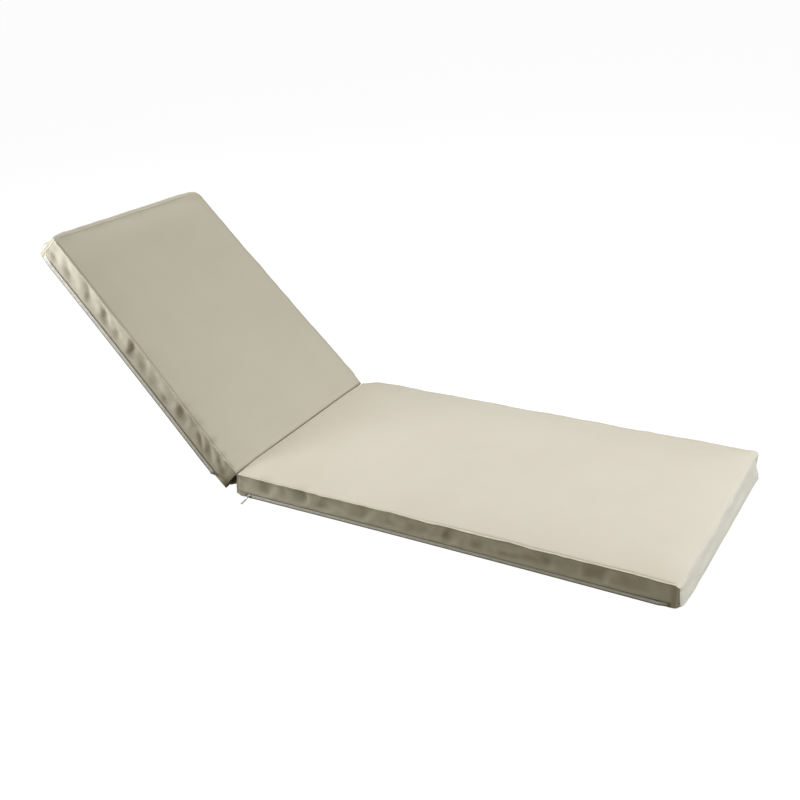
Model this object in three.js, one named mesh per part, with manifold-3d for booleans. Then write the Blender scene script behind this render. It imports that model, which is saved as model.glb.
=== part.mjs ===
// Sun lounger cushion: the seat section lies flat and the back section is raised on the fold between them.
// Millimetres, +Z up. The origin is the middle of the seat's underside, +X runs to the foot end,
// and -Y is the side that holds both zips.
import * as THREE from 'three';
import { mergeVertices } from 'three/addons/utils/BufferGeometryUtils.js';
import Module from 'manifold-3d';

const wasm = await Module();
wasm.setup();

// Driving dimensions
const width = 600;
const seatLength = 1145;
const backLength = 755;
const seatThickness = 59; // from the lower seam to the upper one, on the zip side
const backThickness = 68;
const backAngle = THREE.MathUtils.degToRad(47.2); // above the ground
const backTwist = THREE.MathUtils.degToRad(5); // of the top end against the fold
const clearance = 0.3; // between neighbouring pieces
const seamStep = 7; // width of the strip beside each seam
const domePower = 2.4; // how steeply the dome rises beside a seam
const waistReach = 45; // how far from the fold the long sides pull in
const flareReach = 35; // how far from the fold the lower seam stands out

// Where the back is hinged on the seat: the upper edge of the seat's head end
const foldX = -seatLength / 2;

// Rows of the boxing, the side panel between the two seams.
// up: share of the thickness above the lower seam
// zipSide, plainSide, footEnd, topEnd: how far the row stands out from the plan's edge there
// soft: how much of a dimple shows in that row
const boxingRows = [
  { up: 0.0, zipSide: 0.5, plainSide: 2.0, footEnd: 4.0, topEnd: 8.0, soft: 0 },
  { up: 0.05, zipSide: -2.0, plainSide: -1.0, footEnd: 1.5, topEnd: 6.0, soft: 0 },
  { up: 0.2, zipSide: -2.0, plainSide: -2.5, footEnd: 0.5, topEnd: 7.5, soft: 0 },
  { up: 0.27, zipSide: 0.5, plainSide: -3.0, footEnd: -0.5, topEnd: 8.5, soft: 0.4 },
  { up: 0.44, zipSide: -1.5, plainSide: -4.0, footEnd: -1.5, topEnd: 9.5, soft: 1 },
  { up: 0.62, zipSide: -2.5, plainSide: -4.0, footEnd: -1.5, topEnd: 9.5, soft: 1 },
  { up: 0.79, zipSide: -2.5, plainSide: -3.0, footEnd: -1.0, topEnd: 8.0, soft: 1 },
  { up: 0.92, zipSide: -1.5, plainSide: -1.5, footEnd: -0.5, topEnd: 4.0, soft: 0.6 },
  { up: 1.0, zipSide: 2.0, plainSide: 2.0, footEnd: 2.0, topEnd: 2.0, soft: 0 },
];
const layers = boxingRows.length - 1;
const zipRows = [1, 2]; // the zip lies between these two rows

// Dimples in the zip side's boxing.
// at: mm from the fold; up: mm above the lower seam; wide, tall: half sizes; lean: mm along for each mm up
const seatDimples = [
  { at: 100, up: 40, wide: 26, tall: 22, lean: 0.2, deep: 4 },
  { at: 208, up: 44, wide: 24, tall: 18, lean: 0.5, deep: 5 },
  { at: 262, up: 30, wide: 30, tall: 20, lean: 0.3, deep: 3 },
  { at: 380, up: 36, wide: 40, tall: 22, lean: 0.6, deep: 2.5 },
  { at: 500, up: 30, wide: 45, tall: 22, lean: 0, deep: 2 },
  { at: 628, up: 34, wide: 40, tall: 20, lean: 0.5, deep: 3 },
  { at: 752, up: 40, wide: 34, tall: 18, lean: 0.7, deep: 2.5 },
  { at: 848, up: 36, wide: 34, tall: 20, lean: 0.4, deep: 3 },
  { at: 973, up: 40, wide: 42, tall: 18, lean: 0.4, deep: 2.5 },
  { at: 1072, up: 38, wide: 30, tall: 20, lean: 0.2, deep: 3 },
];
const backDimples = [
  { at: 14, up: 22, wide: 16, tall: 22, lean: 0.2, deep: 4 },
  { at: 49, up: 41, wide: 13, tall: 16, lean: 0.4, deep: 5 },
  { at: 84, up: 34, wide: 15, tall: 16, lean: 0.5, deep: 6 },
  { at: 118, up: 56, wide: 15, tall: 12, lean: 0.9, deep: 6 },
  { at: 158, up: 28, wide: 16, tall: 14, lean: 0.3, deep: 4 },
  { at: 216, up: 45, wide: 22, tall: 18, lean: 0.4, deep: 8 },
  { at: 268, up: 26, wide: 18, tall: 14, lean: 0.3, deep: 5 },
  { at: 362, up: 42, wide: 20, tall: 18, lean: 0.6, deep: 6 },
  { at: 420, up: 38, wide: 18, tall: 20, lean: 0.6, deep: 8 },
  { at: 473, up: 34, wide: 15, tall: 16, lean: 0.6, deep: 5 },
  { at: 527, up: 36, wide: 13, tall: 24, lean: 1.0, deep: 7 },
  { at: 597, up: 46, wide: 18, tall: 18, lean: 0.8, deep: 6 },
  { at: 669, up: 32, wide: 16, tall: 18, lean: 0.6, deep: 5 },
  { at: 738, up: 34, wide: 15, tall: 20, lean: 0.3, deep: 5 },
];

// The two filled sections.
// crown: how far the middle stands above the seams; reach: how far in from a seam it keeps rising
// foldShare: share of the crown that is left at the fold; groove: how deep the fold's seam lies in it
// farRise: how much fuller the side away from the zips stands; rearCrown: crown of the rear face
// drawIn: how far the long sides pull in at mid-length; waist: how far they pull in at the fold
// flare: how far the lower seam stands out at the fold's corners
// puckers: waves round the plain sides, as the count along a side and their depth
const seat = {
  length: seatLength, thickness: seatThickness, columns: 50, rows: 12, zipSide: -1, freeEnd: 'footEnd',
  crown: 9, reach: 95, foldShare: 0.75, groove: 1, farRise: 13, foldReach: 45, rearCrown: 0, twist: 0,
  drawIn: 3, waist: 4, flare: 8, zipCorner: 10, plainCorner: 12, dimples: seatDimples,
  sidePuckers: { count: 17, deep: 1.6 }, endPuckers: { count: 7, deep: 2.2 }, seamWave: 1.2,
};
const back = {
  length: backLength, thickness: backThickness, columns: 54, rows: 12, zipSide: 1, freeEnd: 'topEnd',
  crown: 8, reach: 85, foldShare: 0.8, groove: 1, farRise: 0, foldReach: 60, rearCrown: 5, twist: backTwist,
  drawIn: 3, waist: 4, flare: 0, zipCorner: 8, plainCorner: 24, dimples: backDimples,
  sidePuckers: { count: 13, deep: 2 }, endPuckers: { count: 9, deep: 1.6 }, seamWave: 1.0,
};

// A closed block of cols by rows by layers cells, each vertex put where place(i, j, k) says.
function gridSolid(cols, rows, deep, place) {
  const block = new THREE.BoxGeometry(cols, rows, deep, cols, rows, deep);
  block.deleteAttribute('normal');
  block.deleteAttribute('uv');
  const solid = mergeVertices(block);
  const points = solid.attributes.position;
  for (let n = 0; n < points.count; n += 1) {
    const i = Math.round(points.getX(n) + cols / 2);
    const j = Math.round(points.getY(n) + rows / 2);
    const k = Math.round(points.getZ(n) + deep / 2);
    points.setXYZ(n, ...place(i, j, k));
  }
  return solid;
}

// Grid lines along a section: the fold end, a strip beside each seam, even steps between.
function alongLine(pad, i) {
  if (i === 0) return clearance;
  if (i === pad.columns) return pad.length;
  return seamStep + ((i - 1) / (pad.columns - 2)) * (pad.length - 2 * seamStep);
}

// Grid lines across a section: closer together towards the two long sides.
function acrossLine(pad, j) {
  if (j === 0) return -width / 2;
  if (j === pad.rows) return width / 2;
  const share = (j - 1) / (pad.rows - 2);
  const eased = (1 - Math.cos(Math.PI * share)) / 2;
  return -width / 2 + seamStep + eased * (width - 2 * seamStep);
}

// Fades from 1 to almost nothing within twice the reach.
function bell(distance, reach) {
  return Math.exp(-((distance / reach) ** 2));
}

// Half the width of the plan at a distance from the fold.
function halfWidth(pad, x) {
  const t = x / pad.length;
  const bow = pad.drawIn * 4 * t * (1 - t);
  return width / 2 - bow - pad.waist * bell(x, waistReach);
}

// A smooth rise from 0 at a seam to 1 at the reach.
function rise(distance, reach) {
  const t = Math.min(Math.max(distance / reach, 0), 1);
  return 1 - (1 - t) ** domePower;
}

// How far the upper seam plane lies above the zip side's upper seam.
function fullness(pad, x, y) {
  const across = (1 - (pad.zipSide * y) / (width / 2)) / 2;
  return pad.farRise * across * (1 - bell(x, pad.foldReach));
}

// Height of the dome over the seams. It is drawn down less at the fold than at the free seams.
function crownHeight(pad, x, y, height) {
  const fromFold = pad.foldShare + (1 - pad.foldShare) * rise(x, pad.reach);
  const fromFreeEnd = rise(pad.length - x, pad.reach);
  const fromSide = rise(width / 2 - Math.abs(y), pad.reach);
  return height * fromFold * fromFreeEnd * fromSide;
}

function dimpleDepth(pad, x, up) {
  let depth = 0;
  for (const dimple of pad.dimples) {
    const along = x - dimple.at - dimple.lean * (up - dimple.up);
    depth += dimple.deep * bell(along, dimple.wide) * bell(up - dimple.up, dimple.tall);
  }
  return depth;
}

// Puckers round a plain side come and go: least and spare share their depth, rounds is how often.
const puckerSwell = { least: 0.6, spare: 0.4, rounds: 2.3, start: 1 };

function pucker(waves, share) {
  const { least, spare, rounds, start } = puckerSwell;
  const turn = 2 * Math.PI * share;
  return waves.deep * (least + spare * Math.sin(rounds * turn + start)) * Math.sin(waves.count * turn);
}

// The upper seams wander a little up and down: mm for each radian of the waves.
const seamWander = { along: 31, across: 23, swell: 87, start: 2 };

function seamHeight(pad, x, y) {
  const swell = Math.sin(x / seamWander.swell + seamWander.start);
  return pad.seamWave * swell * Math.sin(x / seamWander.along + y / seamWander.across);
}

// How far out the zip side's skin lies from the middle line, for a row that stands out by rowOut.
function zipSideReach(pad, x, rowOut, up) {
  return halfWidth(pad, x) + rowOut + pad.flare * (1 - up) * bell(x, flareReach);
}

// Turns a point of a section about its long middle line, more towards the free end.
function twisted(pad, x, y, z) {
  const turn = pad.twist * (x / pad.length);
  return [x, y * Math.cos(turn) - z * Math.sin(turn), y * Math.sin(turn) + z * Math.cos(turn)];
}

// Rounds a free corner: the last cell's square becomes a quarter of a disc.
function roundCorner(pad, x, y) {
  const r = y * pad.zipSide > 0 ? pad.zipCorner : pad.plainCorner;
  const a = (x - (pad.length - r)) / r;
  const b = (Math.abs(y) - (width / 2 - r)) / r;
  if (a <= 0 || b <= 0) return [x, y];
  const roundX = pad.length - r + r * a * Math.sqrt(1 - (b * b) / 2);
  const roundY = width / 2 - r + r * b * Math.sqrt(1 - (a * a) / 2);
  return [roundX, Math.sign(y) * roundY];
}

// A point of a section's skin. X runs from the fold, Z = 0 is the zip side's upper seam.
function padPoint(pad, i, j, k) {
  const row = boxingRows[k];
  const lineX = alongLine(pad, i);
  const lineY = acrossLine(pad, j);
  const side = (j === pad.rows ? 1 : 0) - (j === 0 ? 1 : 0);
  const freeEnd = i === pad.columns;
  const foldEnd = i === 0;
  const inside = side === 0 && !freeEnd && !foldEnd;
  let [x, y] = roundCorner(pad, lineX, lineY);
  y *= halfWidth(pad, lineX) / (width / 2);
  let z = -pad.thickness + row.up * (pad.thickness + fullness(pad, lineX, lineY));
  if (k === layers && inside) z += crownHeight(pad, lineX, lineY, pad.crown);
  if (k === layers && !inside && !foldEnd) z += seamHeight(pad, lineX, lineY);
  if (k === layers && foldEnd) {
    // The two sections meet on the plane that halves the angle between them.
    const lift = Math.max(crownHeight(pad, lineX, lineY, pad.crown) - pad.groove, 0);
    z += lift;
    x += lift * Math.tan(backAngle / 2);
  }
  if (k === 0 && inside) z -= crownHeight(pad, lineX, lineY, pad.rearCrown);
  if (side !== 0 && side === pad.zipSide) {
    const dimple = row.soft * dimpleDepth(pad, lineX, row.up * pad.thickness);
    y += side * (zipSideReach(pad, lineX, row.zipSide, row.up) - halfWidth(pad, lineX) - dimple);
  }
  if (side !== 0 && side !== pad.zipSide) {
    y += side * (row.plainSide - row.soft * pucker(pad.sidePuckers, lineX / pad.length));
  }
  if (freeEnd) x += row[pad.freeEnd] - row.soft * pucker(pad.endPuckers, lineY / width);
  return twisted(pad, x, y, z);
}

function padGeometry(pad) {
  return gridSolid(pad.columns, pad.rows, layers, (i, j, k) => padPoint(pad, i, j, k));
}

// A point just outside the zip side's boxing, between the two rows that hold the zip.
function zipSidePoint(pad, x, share, out) {
  const low = boxingRows[zipRows[0]];
  const high = boxingRows[zipRows[1]];
  const up = THREE.MathUtils.lerp(low.up, high.up, share);
  const y = pad.zipSide * (zipSideReach(pad, x, low.zipSide, up) + clearance + out);
  return twisted(pad, x, y, (up - 1) * pad.thickness);
}

// The closed zip: two tapes with the coil standing up between them.
// share: place across the band; out: thickness there
const zipSection = [
  { share: 0.04, out: 0.9 },
  { share: 0.5, out: 2.2 },
  { share: 0.96, out: 0.9 },
];
const coilOut = zipSection[1].out;

// The zip follows the section's own grid lines, from the first column to the last but one.
function zipGeometry(pad, firstColumn) {
  const columns = pad.columns - 1 - firstColumn;
  return gridSolid(columns, zipSection.length - 1, 1, (i, j, k) => {
    const line = zipSection[j];
    const outer = pad.zipSide > 0 ? 0 : 1;
    return zipSidePoint(pad, alongLine(pad, firstColumn + i), line.share, k === outer ? line.out : 0);
  });
}

// Manifold solids for the slider, whose bail is joined to its body
function toManifold(geometry) {
  const bare = geometry.clone();
  bare.deleteAttribute('normal');
  bare.deleteAttribute('uv');
  const merged = mergeVertices(bare);
  const vertProperties = Float32Array.from(merged.attributes.position.array);
  const triVerts = Uint32Array.from(merged.index.array);
  return new wasm.Manifold(new wasm.Mesh({ numProp: 3, vertProperties, triVerts }));
}

function fromManifold(solid) {
  const mesh = solid.getMesh();
  const geometry = new THREE.BufferGeometry();
  geometry.setAttribute('position', new THREE.Float32BufferAttribute(mesh.vertProperties, 3));
  geometry.setIndex(Array.from(mesh.triVerts));
  return geometry;
}

function roundedRectangle(wide, tall, radius) {
  const shape = new THREE.Shape();
  const w = wide / 2;
  const t = tall / 2;
  shape.moveTo(-w + radius, -t);
  shape.lineTo(w - radius, -t);
  shape.absarc(w - radius, -t + radius, radius, -Math.PI / 2, 0);
  shape.absarc(w - radius, t - radius, radius, 0, Math.PI / 2);
  shape.absarc(-w + radius, t - radius, radius, Math.PI / 2, Math.PI);
  shape.absarc(-w + radius, -t + radius, radius, Math.PI, 1.5 * Math.PI);
  return shape;
}

function extrude(shape, depth, curveSegments) {
  return new THREE.ExtrudeGeometry(shape, { depth, bevelEnabled: false, curveSegments });
}

// Zip slider, in its own frame: X along the zip, Y outwards, Z across the zip
const slider = { long: 10, tall: 7.6, thick: 2.6, corner: 2.2 };
const bail = { out: 4.6, sunk: 1, tall: 5.2, wide: 2.2, bar: 1.2, corner: 1, innerCorner: 0.5 };

function sliderGeometry() {
  const outline = roundedRectangle(slider.long, slider.tall, slider.corner);
  const body = extrude(outline, slider.thick, 3);
  body.rotateX(-Math.PI / 2);
  const loop = roundedRectangle(bail.tall, bail.out, bail.corner);
  loop.holes.push(roundedRectangle(bail.tall - 2 * bail.bar, bail.out - 2 * bail.bar, bail.innerCorner));
  const arch = extrude(loop, bail.wide, 2);
  arch.translate(0, slider.thick + bail.out / 2 - bail.sunk, -bail.wide / 2);
  arch.rotateY(Math.PI / 2);
  return fromManifold(toManifold(body).add(toManifold(arch)));
}

// Pull tab, in its own frame: X across it, Y from its eye to its tip, Z through it
const pull = { long: 31, wide: 6.4, thick: 1.2, corner: 1.6 };
const pullEye = { wide: 3.4, long: 2.4, in: 1.4, corner: 0.5 };

function pullGeometry() {
  const outline = roundedRectangle(pull.wide, pull.long, pull.corner);
  const eye = roundedRectangle(pullEye.wide, pullEye.long, pullEye.corner);
  const eyeCentre = -pull.long / 2 + pullEye.in + pullEye.long / 2;
  const hole = new THREE.Path(eye.getPoints(2).map((p) => new THREE.Vector2(p.x, p.y + eyeCentre)));
  outline.holes.push(hole);
  const tab = extrude(outline, pull.thick, 3);
  tab.translate(0, -eyeCentre, -pull.thick / 2);
  return tab;
}

// The cloth web that closes the wedge under the fold: it spans from the seat's head end to the back's
// lower end, and turns up at each end as a pushed-in gusset.
const web = { thick: 2, half: 288, seatReach: 30, backReach: 64, arch: 6, columns: 8 };
// Small folds in the web: depth in mm, and the turns that they make along the run and across it
const webFolds = { deep: 1.2, alongDrop: 2.1, acrossDrop: 5, acrossInset: 9.4 };

// The web's run from one gusset's top, down to its rim, along the fold and up again.
// inset: mm in from the end; reach: share of the full drop below the fold line
const webRun = [
  { inset: 9, reach: 0.24 },
  { inset: 15, reach: 0.5 },
  { inset: 10, reach: 0.8 },
  { inset: 1.5, reach: 0.97 },
  { inset: 4, reach: 1.04 },
  { inset: 26, reach: 1.0 },
  { inset: 70, reach: 0.95 },
  { inset: 130, reach: 0.97 },
  { inset: 210, reach: 0.94 },
];
const webMiddle = { inset: web.half, reach: 0.96 };

function webPath(share) {
  const bow = Math.sin(Math.PI * share);
  const drop = THREE.MathUtils.lerp(web.seatReach, web.backReach, share) - web.arch * bow;
  const near = webRun.map((p) => new THREE.Vector2(-web.half + p.inset, p.reach * drop));
  const far = webRun.map((p) => new THREE.Vector2(web.half - p.inset, p.reach * drop)).reverse();
  const middle = new THREE.Vector2(web.half - webMiddle.inset, webMiddle.reach * drop);
  const run = [...near, middle, ...far];
  run.forEach((p, n) => {
    p.y += webFolds.deep * bow * Math.sin(webFolds.alongDrop * n + webFolds.acrossDrop * share);
    p.x += webFolds.deep * Math.sin(webFolds.acrossInset * share) * Math.cos(n);
  });
  return run;
}

// The same run moved sideways by a distance, with mitred corners that stay short.
const longestMitre = 1.6;

function offsetPath(run, distance) {
  return run.map((p, n) => {
    const before = run[Math.max(n - 1, 0)];
    const after = run[Math.min(n + 1, run.length - 1)];
    const a = new THREE.Vector2().subVectors(p, before).normalize();
    const b = new THREE.Vector2().subVectors(after, p).normalize();
    if (n === 0) a.copy(b);
    if (n === run.length - 1) b.copy(a);
    const middle = new THREE.Vector2().addVectors(a, b).normalize();
    const mitre = 1 / Math.max(middle.dot(a), 1 / longestMitre);
    return new THREE.Vector2(p.x - middle.y * distance * mitre, p.y + middle.x * distance * mitre);
  });
}

function webGeometry() {
  const shares = Array.from({ length: web.columns + 1 }, (_, n) => n / web.columns);
  const faces = shares.map((share) => {
    const run = webPath(share);
    return [offsetPath(run, web.thick / 2), offsetPath(run, -web.thick / 2)];
  });
  const runLength = faces[0][0].length;
  return gridSolid(runLength - 1, web.columns, 1, (i, j, k) => {
    const p = faces[j][k][i];
    const angle = backAngle * shares[j];
    return [foldX - p.y * Math.sin(angle), p.x, seatThickness - p.y * Math.cos(angle)];
  });
}

// Materials
const cloth = { color: 0xd2cbb8, roughness: 0.85, metalness: 0 };
const clothShade = { color: 0xb8b09c, roughness: 0.85, metalness: 0 };
const tape = { color: 0xa9a79f, roughness: 0.7, metalness: 0 };
const metal = { color: 0x9a9a98, roughness: 0.35, metalness: 0.9 };

function addPiece(parent, name, geometry, look) {
  geometry.computeVertexNormals();
  const mesh = new THREE.Mesh(geometry, new THREE.MeshStandardMaterial(look));
  mesh.name = name;
  parent.add(mesh);
  return mesh;
}

const firstZipColumn = { seat: 2, back: 3 };

// Seat section: level, its underside on the ground
const seatGroup = new THREE.Group();
seatGroup.position.set(foldX, 0, seatThickness);
addPiece(seatGroup, 'seat_pad', padGeometry(seat), cloth);
addPiece(seatGroup, 'seat_zip', zipGeometry(seat, firstZipColumn.seat), tape);

// Back section: turned about to run away from the foot end, then raised on the fold
const backGroup = new THREE.Group();
backGroup.position.set(foldX, 0, seatThickness);
backGroup.rotation.set(0, backAngle, Math.PI);
addPiece(backGroup, 'back_pad', padGeometry(back), cloth);
addPiece(backGroup, 'back_zip', zipGeometry(back, firstZipColumn.back), tape);

// Sliders: x is the place along the section, from the fold
const seatSliderX = 39;
const backSliderX = 45;

// A point over the zip's coil, clear of it at both ends of the slider.
function sliderPoint(pad, x, out) {
  const ends = [x - slider.long / 2, x + slider.long / 2];
  const points = ends.map((end) => zipSidePoint(pad, end, 0.5, coilOut + clearance + out));
  const y = pad.zipSide * Math.max(...points.map((point) => Math.abs(point[1])));
  return [x, y, points[0][2]];
}

const seatSlider = addPiece(seatGroup, 'seat_zip_slider', sliderGeometry(), metal);
seatSlider.position.set(...sliderPoint(seat, seatSliderX, 0));
seatSlider.rotation.z = Math.PI;
const backSlider = addPiece(backGroup, 'back_zip_slider', sliderGeometry(), metal);
backSlider.position.set(...sliderPoint(back, backSliderX, 0));
backSlider.rotation.x = backTwist * (backSliderX / backLength);

// The seat slider's pull stands out from the side and droops to the ground.
const pullDroop = THREE.MathUtils.degToRad(-9);
const pullTab = addPiece(seatGroup, 'seat_zip_pull', pullGeometry(), metal);
pullTab.position.set(...sliderPoint(seat, seatSliderX, slider.thick + bail.out - bail.sunk - bail.bar / 2));
pullTab.rotation.set(pullDroop, 0, Math.PI, 'ZXY');

const cushion = new THREE.Group();
cushion.add(seatGroup, backGroup);
addPiece(cushion, 'fold_web', webGeometry(), clothShade);

export default cushion;
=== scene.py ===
# Sun lounger cushion: a seat section lying flat and a back section raised on the sewn fold between them.
# Sizes are in millimetres, and each mesh is scaled to metres where it is put in place.
import math

import bmesh
import bpy
from mathutils import Matrix, Vector, noise
from mathutils.bvhtree import BVHTree
from mathutils.kdtree import KDTree


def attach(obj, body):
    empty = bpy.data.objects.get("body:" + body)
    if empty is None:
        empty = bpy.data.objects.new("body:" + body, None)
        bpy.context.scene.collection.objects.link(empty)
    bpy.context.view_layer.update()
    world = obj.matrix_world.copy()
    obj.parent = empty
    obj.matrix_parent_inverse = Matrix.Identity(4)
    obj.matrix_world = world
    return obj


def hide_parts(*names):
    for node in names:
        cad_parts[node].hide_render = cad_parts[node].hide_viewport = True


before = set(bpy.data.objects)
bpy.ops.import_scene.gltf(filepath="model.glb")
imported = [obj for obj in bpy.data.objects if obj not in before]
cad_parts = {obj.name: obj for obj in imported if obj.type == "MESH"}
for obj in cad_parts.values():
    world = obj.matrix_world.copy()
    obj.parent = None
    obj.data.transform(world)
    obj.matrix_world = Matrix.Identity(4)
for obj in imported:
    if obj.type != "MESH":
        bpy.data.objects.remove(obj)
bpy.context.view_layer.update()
body = "root"


# Rows of values under named columns
def table(columns, *rows):
    return [dict(zip(columns.split(), row)) for row in rows]


# Driving sizes of the whole cushion
cushion = {
    "width": 600,
    "seatLength": 1145,
    "seatThickness": 59,
    "backLength": 755,
    "backThickness": 68,
    "backAngle": math.radians(47.2),
    "backTwist": math.radians(5),
    "clearance": 0.3,
}
halfCushion = cushion["width"] / 2
foldLine = Vector((-cushion["seatLength"] / 2, 0, cushion["seatThickness"]))
toMetres = Matrix.Scale(0.001, 4)
seatPlace = toMetres @ Matrix.Translation(foldLine)
backTurn = Matrix.Rotation(cushion["backAngle"], 4, "Y") @ Matrix.Rotation(math.pi, 4, "Z")
backPlace = seatPlace @ backTurn

# The boxing is the side panel between the two seams. up: share of the thickness above the lower seam;
# zipSide, plainSide, footEnd, topEnd: how far it stands out there; soft: how much of a dimple shows
boxing = table(
    "up zipSide plainSide footEnd topEnd soft",
    (0.0, -5.0, 0.0, 2.0, 8.0, 0.0),
    (0.05, -2.6, -1.0, 1.5, 8.0, 0.0),
    (0.2, -2.2, -2.5, 1.0, 7.0, 0.0),
    (0.27, -0.4, -3.0, 0.5, 6.5, 0.3),
    (0.44, -1.5, -4.0, -1.0, 6.5, 1.0),
    (0.62, -2.5, -4.0, -1.5, 6.5, 1.0),
    (0.79, -2.5, -3.0, -1.0, 5.5, 1.0),
    (0.92, -1.5, -1.5, -0.5, 4.5, 0.75),
    (1.0, 0.0, 0.5, 0.5, 2.5, 0.25),
)

# A seam stands up as a pinched lip with a shallow valley beside it; shade is painted shade in that valley
seam = {"stand": 1.7, "wide": 1.5, "valley": 0.9, "valleyAt": 5.6, "valleyWide": 1.7, "shade": 0.34}
seamLines = [0, 1.5, 3, 4.4, 5.6, 7, 9.5]  # mesh lines beside a seam
zipLines = [0, 1.4, 2.8, 7.5, 11.4, 12.3, 13.4, 15, 18]  # mesh lines above the lower seam
meshStep = {"along": 7.5, "across": 20, "up": 5}

# The folded edge of the boxing that overhangs the zip
hem = {
    "at": 13.8,
    "wide": 1.7,
    "stand": 1.7,
    "under": 11.9,
    # shade: painted shadow under the hem; light and lightWide: a painted highlight along it
    "shade": 0.9,
    "light": 1.6,
    "lightWide": 1.9,
    "fromFree": 14,
    "fromFold": 22,
    "fill": 2.2,
    "fillTo": 0.27,
    "fullAt": 15.5,
    "fullWide": 3.5,
    "fade": 8,
}

# Dimples in the boxing on the zip side, as seen in the photo.
# at: from the fold; up: above the lower seam; wide, tall: half sizes; lean: along for each mm up;
# sharp: how much steeper the side towards the free end is
seatDimples = table(
    "at up wide tall lean deep sharp",
    (30, 46, 12, 8, 0.2, 1.5, 0.2),
    (92, 38, 22, 24, 0.1, 4.5, 0.4),
    (150, 30, 16, 20, 0.3, 1.5, 0.2),
    (208, 42, 24, 22, 0.2, 5.5, 0.75),
    (258, 26, 20, 20, 0.3, 3.5, -0.5),
    (306, 46, 18, 9, -0.8, 2, 0.4),
    (380, 34, 26, 22, 0.4, 3, 0.6),
    (452, 22, 18, 12, 0.9, 2, 0.3),
    (520, 26, 34, 18, 0.5, 2.5, -0.4),
    (606, 36, 18, 20, 0.6, 4, -0.7),
    (690, 28, 26, 18, 0.5, 2.5, 0.6),
    (765, 24, 42, 9, 2.2, 3, 0.2),
    (848, 36, 26, 20, 0.6, 3.5, -0.4),
    (910, 26, 20, 22, 0.3, 2, 0.4),
    (973, 40, 24, 20, 0.3, 4.5, 0.5),
    (1048, 32, 30, 22, 0.4, 2.5, 0.2),
)
backDimples = table(
    "at up wide tall lean deep sharp",
    (20, 26, 14, 20, 0.2, 4, 0.3),
    (49, 44, 9, 15, 0.9, 5, 0.7),
    (84, 36, 14, 14, 0.8, 7, -0.5),
    (112, 58, 10, 9, 1.2, 4, 0.6),
    (133, 38, 8, 16, 1.7, 7, 0.85),
    (172, 52, 14, 10, 0.8, 4, 0.3),
    (210, 42, 20, 16, 0.7, 7.5, 0.5),
    (262, 26, 10, 10, 0.3, 6, 0.2),
    (318, 36, 26, 18, 0.7, 3, 0.3),
    (372, 42, 24, 18, 0.9, 5.5, 0.3),
    (420, 40, 20, 22, 0.4, 8, 0.85),
    (473, 34, 14, 16, 0.8, 4, 0.4),
    (527, 38, 15, 18, 1.0, 7, 0.6),
    (597, 40, 15, 20, 1.1, 6.5, 0.5),
    (669, 32, 13, 16, 0.9, 6, 0.3),
    (722, 28, 10, 20, 0.5, 6, 0.4),
)
# The same in the foot end's boxing. at: from the middle, towards the side away from the zips
footDimples = table(
    "at up wide tall lean deep sharp",
    (-240, 22, 12, 10, 0.8, 2.5, 0.5),
    (-120, 26, 26, 12, 0.5, 2.5, 0.3),
    (-10, 14, 12, 9, 0.6, 3.5, 0.6),
    (40, 16, 10, 10, 0.4, 3, -0.4),
    (150, 30, 30, 16, 0.3, 3, 0.3),
    (286, 40, 14, 8, 0, 6, 0),
)

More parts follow.
